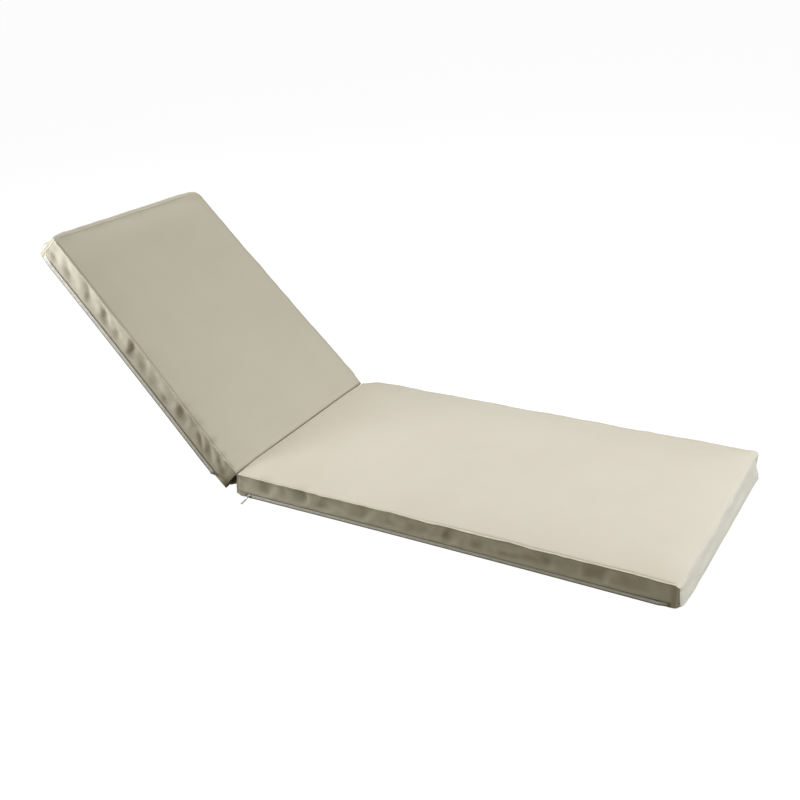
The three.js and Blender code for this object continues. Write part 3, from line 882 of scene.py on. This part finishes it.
def blendColours(tree, mode, fac, first, second):
    mix = addNode(tree, "ShaderNodeMix", {0: fac, 6: first, 7: second}, data_type="RGBA", blend_type=mode)
    return mix.outputs[2]


coverCloth = {
    "roughness": 0.82,
    "dark": (0.6, 0.55, 0.445),
    "darkAt": 0.1,
    "light": (0.7, 0.65, 0.54),
    "lightAt": 0.7,
    "threads": 1700,
    "slub": 0.35,
    "bump": 0.35,
    "bumpHeight": 0.0002,
    "mottleScale": 7,
    "weaveTone": 0.45,
    "mottleTone": 0.35,
    # shade: the colour of the darkest painted shade; the next value is how far a painted highlight lifts
    # the colour
    "shade": (0.26, 0.22, 0.15),
    "paintedHighlight": 0.45,
    "sheen": 0.12,
    "sheenRoughness": 0.6,
    "specular": 0.25,
}


# Paints shade into a colour in the valleys that the mesh carries, and paints highlights that make the
# ridges paler
def shadeSeams(tree, base):
    shade = addNode(tree, "ShaderNodeAttribute", attribute_name="seamShade").outputs["Fac"]
    deep = colourRamp(tree, shade, [(0.0, (1.0, 1.0, 1.0)), (1.0, coverCloth["shade"])])
    base = blendColours(tree, "MULTIPLY", 1.0, base, deep)
    paintedHighlight = maths(tree, "MULTIPLY", maths(tree, "MINIMUM", shade, 0.0), -coverCloth["paintedHighlight"])
    lift = maths(tree, "ADD", paintedHighlight, 1.0)
    return addNode(tree, "ShaderNodeVectorMath", {0: base, "Scale": lift}, operation="SCALE").outputs[0]


def makeCoverCloth():
    material, tree, shader = newMaterial("beige_cover_cloth", coverCloth["roughness"])
    weave = placeWeave(tree, coverCloth)
    weaveTone = maths(tree, "MULTIPLY", weave["Tone"], coverCloth["weaveTone"])
    mottleTone = maths(tree, "MULTIPLY", placeMottle(tree, coverCloth), coverCloth["mottleTone"])
    base = toneRamp(tree, maths(tree, "ADD", weaveTone, mottleTone), coverCloth)
    tree.links.new(shadeSeams(tree, base), shader.inputs["Base Color"])
    addBump(tree, shader, weave["Height"], coverCloth)
    shader.inputs["Sheen Weight"].default_value = coverCloth["sheen"]
    shader.inputs["Sheen Roughness"].default_value = coverCloth["sheenRoughness"]
    shader.inputs["Specular IOR Level"].default_value = coverCloth["specular"]
    return material


zipTape = {
    "step": 6,
    "flatWide": 0.009,
    "settle": 9,
    "settleFree": 24,
    "sunk": 1.2,
    "flatOut": 1.8,
    "thick": 0.5,
    "low": 0.03,
    "high": 0.2,
    "rowOut": -2.0,
    "roughness": 0.75,
    "dark": (0.7, 0.68, 0.62),
    "darkAt": 0.1,
    "light": (0.82, 0.8, 0.74),
    "lightAt": 0.8,
    "threads": 2300,
    "slub": 0.2,
    "bump": 0.5,
    "bumpHeight": 0.0002,
}
# The tapes' section. share: place across the band; out: how far it stands off the boxing;
# shade: painted shadow of the hem or of its own lower edge, how dark it makes the tape
tapeSection = table(
    "share out shade",
    (0.04, 4.0, 1.0),
    (0.18, 4.8, 1.0),
    (0.28, 4.6, 0.8),
    (0.38, 4.1, 0.0),
    (0.6, 2.9, 0.0),
    (0.74, 2.2, 0.0),
    (0.84, 1.8, 0.7),
    (0.96, 1.2, 0.9),
)
coil = {
    "pitch": 2.0,
    "long": 1.6,
    "wide": 1.9,
    "thick": 1.1,
    "middle": 0.5,
    "apart": 0.09,
    "lowOut": 4.2,
    "highOut": 3.3,
    "round": 0.3,
    "inset": 3,
    "late": 0.5,
    "roughness": 0.42,
    "mottleScale": 60.0,
    "dark": (0.72, 0.7, 0.65),
    "darkAt": 0.3,
    "light": (0.82, 0.8, 0.75),
    "lightAt": 0.7,
}
# fromEnds, fromSides, fromLow, fromUpper: where a run starts and stops; aboveHem: how far over the hem
# it lies; uprightAt: places of the upright runs, from the fold and from the free end
stitch = {
    "pitch": 5,
    "uprightPitch": 6,
    "long": 3.2,
    "thick": 0.8,
    "round": 0.2,
    "sunk": 0.2,
    "fromEnds": 14,
    "fromSides": 26,
    "fromLow": 4,
    "fromUpper": 5,
    "aboveHem": 3,
    "uprightAt": (4, 8),
    "roughness": 0.6,
    "twistScale": 900.0,
    "twistUneven": 1.0,
    "dark": (0.22, 0.19, 0.14),
    "darkAt": 0.2,
    "light": (0.36, 0.32, 0.25),
    "lightAt": 0.8,
}
zipMetal = {
    "roughness": 0.4,
    "metallic": 0.85,
    "mottleScale": 400.0,
    "dark": (0.56, 0.57, 0.58),
    "darkAt": 0.3,
    "light": (0.68, 0.69, 0.7),
    "lightAt": 0.7,
    "smoothest": 0.22,
    "rougher": 0.25,
    "bump": 0.15,
    "bumpHeight": 0.0001,
}


def makeZipTape():
    material, tree, shader = newMaterial("zip_tape_cloth", zipTape["roughness"])
    weave = placeWeave(tree, zipTape)
    base = toneRamp(tree, weave["Tone"], zipTape)
    # The tape's colour carries painted shadow under the hem and along its lower edge
    tree.links.new(shadeSeams(tree, base), shader.inputs["Base Color"])
    addBump(tree, shader, weave["Height"], zipTape)
    return material


def makeNylon():
    material, tree, shader = newMaterial("zip_coil_nylon", coil["roughness"])
    base = toneRamp(tree, placeMottle(tree, coil), coil)
    tree.links.new(base, shader.inputs["Base Color"])
    return material


def makeThread():
    material, tree, shader = newMaterial("sewing_thread", stitch["roughness"])
    place = addNode(tree, "ShaderNodeTexCoord").outputs["Object"]
    values = {"Vector": place, "Scale": stitch["twistScale"], "Distortion": stitch["twistUneven"]}
    twist = addNode(tree, "ShaderNodeTexWave", values)
    base = toneRamp(tree, twist.outputs["Fac"], stitch)
    tree.links.new(base, shader.inputs["Base Color"])
    return material


def makeZipMetal():
    material, tree, shader = newMaterial("zip_satin_metal", zipMetal["roughness"], zipMetal["metallic"])
    mottle = placeMottle(tree, zipMetal)
    tree.links.new(toneRamp(tree, mottle, zipMetal), shader.inputs["Base Color"])
    rough = maths(tree, "MULTIPLY", mottle, zipMetal["rougher"])
    rough = maths(tree, "ADD", rough, zipMetal["smoothest"])
    tree.links.new(rough, shader.inputs["Roughness"])
    addBump(tree, shader, mottle, zipMetal)
    return material


clothMaterial = makeCoverCloth()
tapeMaterial = makeZipTape()
nylonMaterial = makeNylon()
threadMaterial = makeThread()
metalMaterial = makeZipMetal()

for pad in (seatSection, backSection):
    cover = toObject(pad["name"], buildSection(pad))
    addSubdivision(cover)
    finishPiece(cover, clothMaterial, "cover_cloth", pad["node"])
    pad["cover"] = cover
    print(pad["name"], "built,", len(cover.data.polygons), "faces")


# A flat cloth grid from -0.5 to 0.5, with its real size in its UV map
def clothGrid(cells, rows, flatSize):
    cloth = bmesh.new()
    bmesh.ops.create_grid(cloth, x_segments=cells, y_segments=rows, size=0.5)
    flatUv = cloth.loops.layers.uv.new("flat")
    shade = cloth.verts.layers.float.new("seamShade")
    for face in cloth.faces:
        for loop in face.loops:
            loop[flatUv].uv = (loop.vert.co.x * flatSize[0], loop.vert.co.y * flatSize[1])
    return cloth, shade


def addWall(piece, thick):
    wall = piece.modifiers.new("cloth", "SOLIDIFY")
    wall.thickness = thick * 0.001
    wall.offset = 0


# The cloth web that closes the wedge under the fold, with a pushed-in gusset at each end
web = {
    "name": "fold_gusset",
    "thick": 1.2,
    "half": 288,
    "seatReach": 30,
    "backReach": 64,
    "arch": 6,
    "crumple": 1.6,
    "crumpleTurns": (2.1, 5),
    "gussetFold": 3.0,
    "gussetAt": 1.5,
    "gussetWide": 1.6,
    "tuck": 26,
    "tuckFrom": 0.3,
    "tuckAt": 1.2,
    "tuckWide": 1.1,
    "runCells": 110,
    "turnCells": 16,
    "flat": (0.7, 0.04),
    # Painted shade in the gusset's folds and on its deep side, and a painted highlight on its rim
    "foldShade": 0.6,
    "foldShift": 1.2,
    "deepShade": 1.0,
    "deepFrom": 0.5,
    "deepFade": 0.15,
    "shadeAt": 1,
    "shadeWide": 2.6,
    "rimShade": 0.5,
    "rimAt": 3.6,
    "rimWide": 0.6,
    "rimFull": 1.4,
    "rimFade": 1.6,
    "foldTurns": 4.2,
    "foldLean": 0.5,
    "angleFrom": 0.02,
    "angleShare": 0.97,
}
# The web's run from a gusset's top, down to its rim and along the fold to the middle.
# inset: in from the end; reach: share of the full drop below the fold
webRun = table(
    "step inset reach",
    (0, 9, 0.24),
    (1, 15, 0.5),
    (2, 10, 0.8),
    (3, 1.5, 0.97),
    (4, 4, 1.04),
    (5, 26, 1.0),
    (6, 70, 0.95),
    (7, 130, 0.97),
    (8, 210, 0.94),
    (9, 288, 0.96),
)


def webTurn(at, share):
    return web["foldTurns"] * math.pi * share + web["foldLean"] * at


def webPoint(step, share):
    lastStep = webRun[-1]["step"]
    near = step <= lastStep
    at = step if near else 2 * lastStep - step
    inset = throughRows(webRun, "step", "inset", at)
    middle = math.sin(math.pi * share)
    drop = web["seatReach"] + share * (web["backReach"] - web["seatReach"]) - web["arch"] * middle
    reach = throughRows(webRun, "step", "reach", at) * drop
    alongTurns, acrossTurns = web["crumpleTurns"]
    reach += web["crumple"] * math.sin(alongTurns * step + acrossTurns * share) * middle
    folds = web["gussetFold"] * math.sin(webTurn(at, share)) * middle
    folds *= bell(at - web["gussetAt"], web["gussetWide"])
    tucked = web["tuck"] * clamp((share - web["tuckFrom"]) / web["tuckFrom"])
    tucked *= bell(at - web["tuckAt"], web["tuckWide"])
    y = web["half"] - inset - folds - tucked
    angle = cushion["backAngle"] * (web["angleFrom"] + web["angleShare"] * share)
    return foldLine + Vector((-reach * math.sin(angle), -y if near else y, -reach * math.cos(angle)))


# Painted shade makes the gusset nearly black beside the back section and dark in its folds, with a painted
# highlight on its rim
def webShade(step, share):
    at = min(step, 2 * webRun[-1]["step"] - step)
    folds = web["foldShade"] * max(math.sin(webTurn(at, share) + web["foldShift"]), 0)
    deep = web["deepShade"] * clamp((share - web["deepFrom"]) / web["deepFade"])
    rim = web["rimShade"] * bell(at - web["rimAt"], web["rimWide"])
    rim *= clamp(web["rimFull"] - web["rimFade"] * share)
    return clamp(max(folds, deep) * bell(at - web["shadeAt"], web["shadeWide"]) - rim, -1, 1)


def buildWeb():
    cloth, shade = clothGrid(web["runCells"], web["turnCells"], web["flat"])
    for vert in cloth.verts:
        step, share = (vert.co.x + 0.5) * 2 * webRun[-1]["step"], vert.co.y + 0.5
        # Painted shade and a painted highlight for the gusset's colour
        vert[shade] = webShade(step, share)
        vert.co = webPoint(step, share)
    cloth.transform(toMetres)
    return cloth


webPiece = toObject(web["name"], buildWeb())
addWall(webPiece, web["thick"])
finishPiece(webPiece, clothMaterial, "cover_cloth", "fold_web")
print("fold gusset built")


# A point over the zip's band: share runs across it, out is the height over the boxing
def zipPoint(pad, x, share, out):
    up = zipTape["low"] + share * (zipTape["high"] - zipTape["low"])
    y = pad["zipSide"] * (zipSideReach(pad, x, zipTape["rowOut"], up) + out)
    return twisted(pad, x, y, (up - 1) * pad["thickness"] - pad["lowDrop"] * (1 - up) ** 2)


# The zip lies flatter on the back section, and sinks into the cloth at its two ends
def settled(pad, x, out):
    out += pad["tapeFlat"] * (zipTape["flatOut"] - out)
    fromEnds = (x - pad["zipFrom"]) / zipTape["settle"], (pad["zipTo"] - x) / zipTape["settleFree"]
    share = clamp(min(fromEnds))
    return out * share - zipTape["sunk"] * (1 - share)


# Axes at a point of the zip: X along it, Y across it, Z outwards
def zipFrame(pad, x, share, out):
    centre = zipPoint(pad, x, share, out)
    along = (zipPoint(pad, x + 1, share, out) - centre).normalized()
    outward = (zipPoint(pad, x, share, out + 1) - centre).normalized()
    across = outward.cross(along).normalized()
    turn = Matrix((along, across, outward)).transposed().to_4x4()
    return Matrix.Translation(centre) @ turn


def buildTape(pad):
    start, end = pad["zipFrom"], pad["zipTo"]
    cells = round((end - start) / zipTape["step"])
    last = len(tapeSection) - 1
    tape, shade = clothGrid(cells, last, ((end - start) * 0.001, zipTape["flatWide"]))
    for vert in tape.verts:
        row = tapeSection[round((vert.co.y + 0.5) * last)]
        x = start + (vert.co.x + 0.5) * (end - start)
        # Painted shadow lines under the hem and at the tape's lower edge
        line = "edgePaintedShadow" if row["share"] < 0.5 else "zipPaintedShadow"
        vert[shade] = row["shade"] * darkAt(pad, line, x)
        vert.co = zipPoint(pad, x, row["share"], settled(pad, x, row["out"]))
    tape.transform(pad["place"])
    return tape


# Blocks of one size, one at each frame, with softened edges
def stampBlocks(frames, size, rounding, place):
    blocks = bmesh.new()
    scale = Matrix.Diagonal((*size, 1))
    for at in frames:
        bmesh.ops.create_cube(blocks, size=1, matrix=at @ scale)
    bmesh.ops.bevel(
        blocks, geom=blocks.edges[:], offset=rounding, segments=1, profile=0.5, affect="EDGES", material=-1
    )
    blocks.transform(place)
    return blocks


def buildCoil(pad):
    frames = []
    count = int((pad["zipTo"] - pad["zipFrom"] - 2 * coil["inset"]) / coil["pitch"])
    for n in range(count):
        for side, late in ((-1, 0), (1, coil["late"])):
            x = pad["zipFrom"] + coil["inset"] + (n + late) * coil["pitch"]
            out = coil["lowOut"] if side < 0 else coil["highOut"]
            share = coil["middle"] + side * coil["apart"]
            frames.append(zipFrame(pad, x, share, settled(pad, x, out)))
    size = (coil["long"], coil["wide"], coil["thick"])
    return stampBlocks(frames, size, coil["round"], pad["place"])


for pad in (seatSection, backSection):
    tape = toObject(pad["tape"], buildTape(pad))
    addWall(tape, zipTape["thick"])
    finishPiece(tape, tapeMaterial, "zip_tape", pad["zipNode"])
    teeth = toObject(pad["coil"], buildCoil(pad))
    finishPiece(teeth, nylonMaterial, "zip_tape")
    print(pad["zipNode"], "built,", len(teeth.data.polygons), "coil faces")


# Stitches laid on the cover along a run of points, each turned to the cloth under it
def stitchFrames(pad, tree, points):
    frames = []
    toWorld = pad["place"]
    for start, end in zip(points, points[1:]):
        middle = toWorld @ ((start + end) / 2)
        place, normal = tree.find_nearest(middle)[:2]
        along = (toWorld.to_3x3() @ (end - start)).normalized()
        across = normal.cross(along).normalized()
        along = across.cross(normal)
        turn = Matrix((along, across, normal)).transposed().to_4x4()
        frames.append(Matrix.Translation(place - normal * stitch["sunk"] * 0.001) @ turn @ toMetres)
    return frames


# Runs of stitches: beside the upper seams, over the hem and beside the upright corner seams
def stitchRuns(pad):
    length, thickness, side = pad["length"], pad["thickness"], pad["zipSide"]
    alongs = evenLines(stitch["fromEnds"], length - stitch["fromEnds"], stitch["pitch"])
    reach = halfCushion - stitch["fromSides"]
    acrosses = evenLines(-reach, reach, stitch["pitch"])
    low, high = hem["at"] + stitch["fromLow"], thickness - stitch["fromUpper"]
    uprights = evenLines(low, high, stitch["uprightPitch"])
    faces = ("top", "rear", "free", "fold", "zipSide", "farSide")
    onTop = {face: face == "top" for face in faces}
    onSide = {face: face == "zipSide" for face in faces}
    inset = halfCushion - seam["valleyAt"]
    runs = [[skinPoint(pad, x, sign * inset, thickness, onTop) for x in alongs] for sign in (-1, 1)]
    overHem = hem["at"] + stitch["aboveHem"]
    runs.append([skinPoint(pad, x, side * halfCushion, overHem, onSide) for x in alongs])
    fromFold, fromFree = stitch["uprightAt"]
    for x in (fromFold, length - fromFree):
        runs.append([skinPoint(pad, x, side * halfCushion, up, onSide) for up in uprights])
    if pad["endShade"]:
        runs.append([skinPoint(pad, length - seam["valleyAt"], y, thickness, onTop) for y in acrosses])
    return runs


for pad in (seatSection, backSection):
    tree = BVHTree.FromObject(pad["cover"], bpy.context.evaluated_depsgraph_get())
    frames = []
    for points in stitchRuns(pad):
        frames += stitchFrames(pad, tree, points)
    size = (stitch["long"], stitch["thick"], stitch["thick"])
    threads = stampBlocks(frames, size, stitch["round"] * 0.001, Matrix.Identity(4))
    piece = toObject(pad["name"].replace("cover", "stitching"), threads)
    finishPiece(piece, threadMaterial, "cover_cloth")
    print(pad["name"], "stitched,", len(frames), "stitches")


# Zip sliders and the pull, in their own frame: X along the zip, Y across it, Z outwards
slider = {
    "long": 10.5,
    "wide": 7.8,
    "nose": 5.2,
    "plate": 1.1,
    "gap": 1.5,
    "round": 0.45,
    "smallRound": 0.2,
    "sink": 0.6,
    "bailSunk": 0.4,
    "flange": {"inset": 0.6, "short": 2.4, "thick": 0.9, "into": 0.6},
    "wedge": {"from": 1.6, "long": 2.4, "wide": 2.6, "nose": 1.2, "into": 0.4},
}
bail = {"high": 4.2, "long": 5.4, "bar": 1.2, "wide": 2.2, "steps": 14, "foot": 0.5}
pull = {
    "long": 31,
    "wide": 6.4,
    "neck": 3.6,
    "thick": 1.2,
    "round": 0.3,
    "ringOut": 2.9,
    "ringIn": 1.5,
    "ringSteps": 24,
    "tabFrom": 1.9,
    "tabShort": 4.4,
    "panel": 0.8,
    "recess": 0.3,
    "eye": 9.4,
    "droop": math.radians(-9),
}


def roundEdges(skin, edges, rounding):
    bmesh.ops.bevel(
        skin, geom=edges, offset=rounding, segments=2, profile=0.5, affect="EDGES", material=-1
    )


# A closed plate from a cube, narrower at its -X end, with softened edges
def addPlate(skin, centre, size, noseWide, rounding):
    place = Matrix.Translation(centre) @ Matrix.Diagonal((*size, 1))
    verts = bmesh.ops.create_cube(skin, size=1, matrix=place)["verts"]
    for vert in verts:
        if vert.co.x < centre[0]:
            vert.co.y = centre[1] + (vert.co.y - centre[1]) * noseWide / size[1]
    edges = list({edge for vert in verts for edge in vert.link_edges})
    roundEdges(skin, edges, rounding)


# A bar of square section swept round part of a circle
def addSweptBar(skin, start, size, centre, axis, angle, steps):
    place = start @ Matrix.Diagonal((*size, 1, 1))
    made = bmesh.ops.create_grid(skin, x_segments=1, y_segments=1, size=0.5, matrix=place)
    faces = list({face for vert in made["verts"] for face in vert.link_faces})
    whole = angle >= 2 * math.pi
    bmesh.ops.spin(skin, geom=faces, cent=centre, axis=axis, angle=angle, steps=steps, use_merge=whole)
    if whole:
        bmesh.ops.delete(skin, geom=[face for face in faces if face.is_valid], context="FACES_ONLY")


def buildSlider():
    skin = bmesh.new()
    long, wide, plate, gap = slider["long"], slider["wide"], slider["plate"], slider["gap"]
    top = plate + gap - slider["sink"]
    for low in (-slider["sink"], top):
        addPlate(skin, (0, 0, low + plate / 2), (long, wide, plate), slider["nose"], slider["round"])
    middle = plate + gap / 2 - slider["sink"]
    flange = slider["flange"]
    for sign in (-1, 1):
        centre = (flange["inset"], sign * (wide / 2 - flange["inset"]), middle)
        size = (long - flange["short"], flange["thick"], gap + flange["into"])
        addPlate(skin, centre, size, flange["thick"], slider["smallRound"])
    wedge = slider["wedge"]
    size = (wedge["long"], wedge["wide"], gap + wedge["into"])
    addPlate(skin, (wedge["from"] - long / 2, 0, middle), size, wedge["nose"], slider["smallRound"])
    base = top + plate - slider["bailSunk"]
    start = Matrix.Translation((-bail["long"] / 2, 0, base))
    middle = (0, 0, base)
    addSweptBar(skin, start, (bail["bar"], bail["wide"]), middle, (0, 1, 0), math.pi, bail["steps"])
    for vert in skin.verts:
        if vert.co.z > base + bail["foot"]:
            vert.co.z = base + (vert.co.z - base) * bail["high"] / (bail["long"] / 2 + bail["bar"] / 2)
    bmesh.ops.recalc_face_normals(skin, faces=skin.faces)
    return skin


# The pull: a ring at the eye and a tapered tab with a sunk panel on each face
def buildPull():
    skin = bmesh.new()
    ring = (pull["ringOut"] + pull["ringIn"]) / 2
    wall = pull["ringOut"] - pull["ringIn"]
    start = Matrix.Translation((ring, 0, 0)) @ Matrix.Rotation(math.pi / 2, 4, "X")
    size = (wall, pull["thick"])
    addSweptBar(skin, start, size, (0, 0, 0), (0, 0, 1), 2 * math.pi, pull["ringSteps"])
    length = pull["long"] - pull["tabShort"]
    centre = pull["tabFrom"] + length / 2
    size = Matrix.Diagonal((pull["wide"], length, pull["thick"], 1))
    tab = bmesh.ops.create_cube(skin, size=1, matrix=Matrix.Translation((0, centre, 0)) @ size)
    for vert in tab["verts"]:
        if vert.co.y < centre:
            vert.co.x *= pull["neck"] / pull["wide"]
    sides = list({face for vert in tab["verts"] for face in vert.link_faces})
    faces = [face for face in sides if abs(face.normal.z) > 0.9]
    bmesh.ops.inset_individual(skin, faces=faces, thickness=pull["panel"], depth=-pull["recess"])
    rims = [edge for face in sides if abs(face.normal.z) < 0.1 for edge in face.edges]
    rims = [edge for edge in set(rims) if edge.is_valid and edge.is_manifold]
    roundEdges(skin, rims, pull["round"])
    bmesh.ops.recalc_face_normals(skin, faces=skin.faces)
    return skin


for pad in (seatSection, backSection):
    metal = buildSlider()
    metal.transform(pad["place"] @ zipFrame(pad, pad["sliderAt"], 0.5, pad["sliderOut"]))
    sliderPiece = toObject(pad["sliderNode"] + "_body", metal)
    finishPiece(sliderPiece, metalMaterial, "zip_metal", pad["sliderNode"])
pullSkin = buildPull()
eye = zipPoint(seatSection, seatSection["sliderAt"], 0.5, pull["eye"])
pullTurn = Matrix.Rotation(math.pi, 4, "Z") @ Matrix.Rotation(pull["droop"], 4, "X")
pullSkin.transform(seatPlace @ Matrix.Translation(eye) @ pullTurn)
finishPiece(toObject("seat_zip_pull_tab", pullSkin), metalMaterial, "zip_metal", "seat_zip_pull")
print("zip sliders and pull built")

# Floor, lights and camera
stage = {
    "half": 30,
    "drop": 0.0005,
    "roughness": 0.9,
    "bounce": (0.13, 0.118, 0.09),
    "pale": 0.975,
    "soft": 0.1,
    "ambient": 0.01,
}
floor = bpy.data.meshes.new("floor")
ground = bmesh.new()
bmesh.ops.create_grid(ground, x_segments=1, y_segments=1, size=stage["half"])
ground.to_mesh(floor)
ground.free()
floorObject = bpy.data.objects.new("floor", floor)
bpy.context.scene.collection.objects.link(floorObject)
floorObject.location.z = -stage["drop"]
floorMaterial, floorTree, floorShader = newMaterial("pale_floor", stage["roughness"])
floorShader.inputs["Base Color"].default_value = (*stage["bounce"], 1)
pale = addNode(floorTree, "ShaderNodeEmission", {"Strength": stage["pale"]})
soft = addNode(floorTree, "ShaderNodeBsdfDiffuse", {"Color": (*[stage["soft"]] * 3, 1)})
seen = addNode(floorTree, "ShaderNodeAddShader", {0: pale.outputs[0], 1: soft.outputs[0]})
fromCamera = addNode(floorTree, "ShaderNodeLightPath").outputs["Is Camera Ray"]
shaders = {0: fromCamera, 1: floorShader.outputs[0], 2: seen.outputs[0]}
mixed = addNode(floorTree, "ShaderNodeMixShader", shaders)
floorTree.links.new(mixed.outputs[0], floorTree.nodes["Material Output"].inputs["Surface"])
floor.materials.append(floorMaterial)

# at and aim in metres, power in watts
lights = table(
    "name at aim size power tint",
    ("leftHigh", (-2.77, 0, 2.57), (-0.4, 0, 0.2), 1.5, 62.5, (0.82, 0.84, 1)),
    ("leftBack", (-1.8, 1.6, 2.4), (-0.4, 0, 0.2), 1.5, 28, (1, 0.99, 0.76)),
    ("nearBack", (-1.9, -1.3, 0.9), (-0.9, -0.2, 0.4), 0.6, 8.0, (1, 0.99, 0.94)),
    ("topLeft", (-1.5, -0.8, 0.75), (-1.05, -0.28, 0.55), 0.35, 5.6, (0.88, 0.92, 1)),
    ("front", (0, -3.2, 0.9), (0, 0, 0), 1.6, 14.6, (1, 0.94, 0.68)),
    ("rightLow", (1.9, 0.1, 0.35), (0.5, 0, 0.03), 0.7, 13.1, (0.7, 0.83, 1)),
    ("rightHigh", (2.3, 0.3, 2.2), (0.1, 0, 0), 1.5, 54.5, (1, 0.95, 0.85)),
    ("overhead", (0.3, 0.05, 1.3), (0.3, 0, 0), 0.8, 3.6, (0.74, 0.79, 1)),
)
for row in lights:
    lamp = bpy.data.lights.new(row["name"], "AREA")
    lamp.size = row["size"]
    lamp.energy = row["power"]
    lamp.color = row["tint"]
    holder = bpy.data.objects.new(row["name"], lamp)
    bpy.context.scene.collection.objects.link(holder)
    at = Vector(row["at"])
    aim = (Vector(row["aim"]) - at).to_track_quat("-Z", "Y")
    holder.matrix_world = Matrix.Translation(at) @ aim.to_matrix().to_4x4()

world = bpy.context.scene.world or bpy.data.worlds.new("studio")
bpy.context.scene.world = world
world.use_nodes = True
worldTree = world.node_tree
backdrop = worldTree.nodes["Background"]
backdrop.inputs["Color"].default_value = (1, 1, 1, 1)
dim = {"Color": (1, 1, 1, 1), "Strength": stage["ambient"]}
ambient = addNode(worldTree, "ShaderNodeBackground", dim)
worldRay = addNode(worldTree, "ShaderNodeLightPath").outputs["Is Camera Ray"]
shaders = {0: worldRay, 1: ambient.outputs[0], 2: backdrop.outputs[0]}
sky = addNode(worldTree, "ShaderNodeMixShader", shaders)
worldTree.links.new(sky.outputs[0], worldTree.nodes["World Output"].inputs["Surface"])

# The camera stands where the photo was taken from
view = {
    "at": Vector((1.0943, -2.1127, 1.3739)),
    "aim": Vector((-0.3608, 0.1665, 0.1)),
    "roll": math.radians(-4.38),
    "lens": 49.07,
    "sensor": 36,
}
cameraData = bpy.data.cameras.new("camera")
cameraData.lens = view["lens"]
cameraData.sensor_width = view["sensor"]
camera = bpy.data.objects.new("camera", cameraData)
bpy.context.scene.collection.objects.link(camera)
facing = (view["aim"] - view["at"]).to_track_quat("-Z", "Y").to_matrix().to_4x4()
camera.matrix_world = Matrix.Translation(view["at"]) @ facing @ Matrix.Rotation(view["roll"], 4, "Z")
bpy.context.scene.camera = camera
bpy.context.scene.view_settings.view_transform = "Standard"
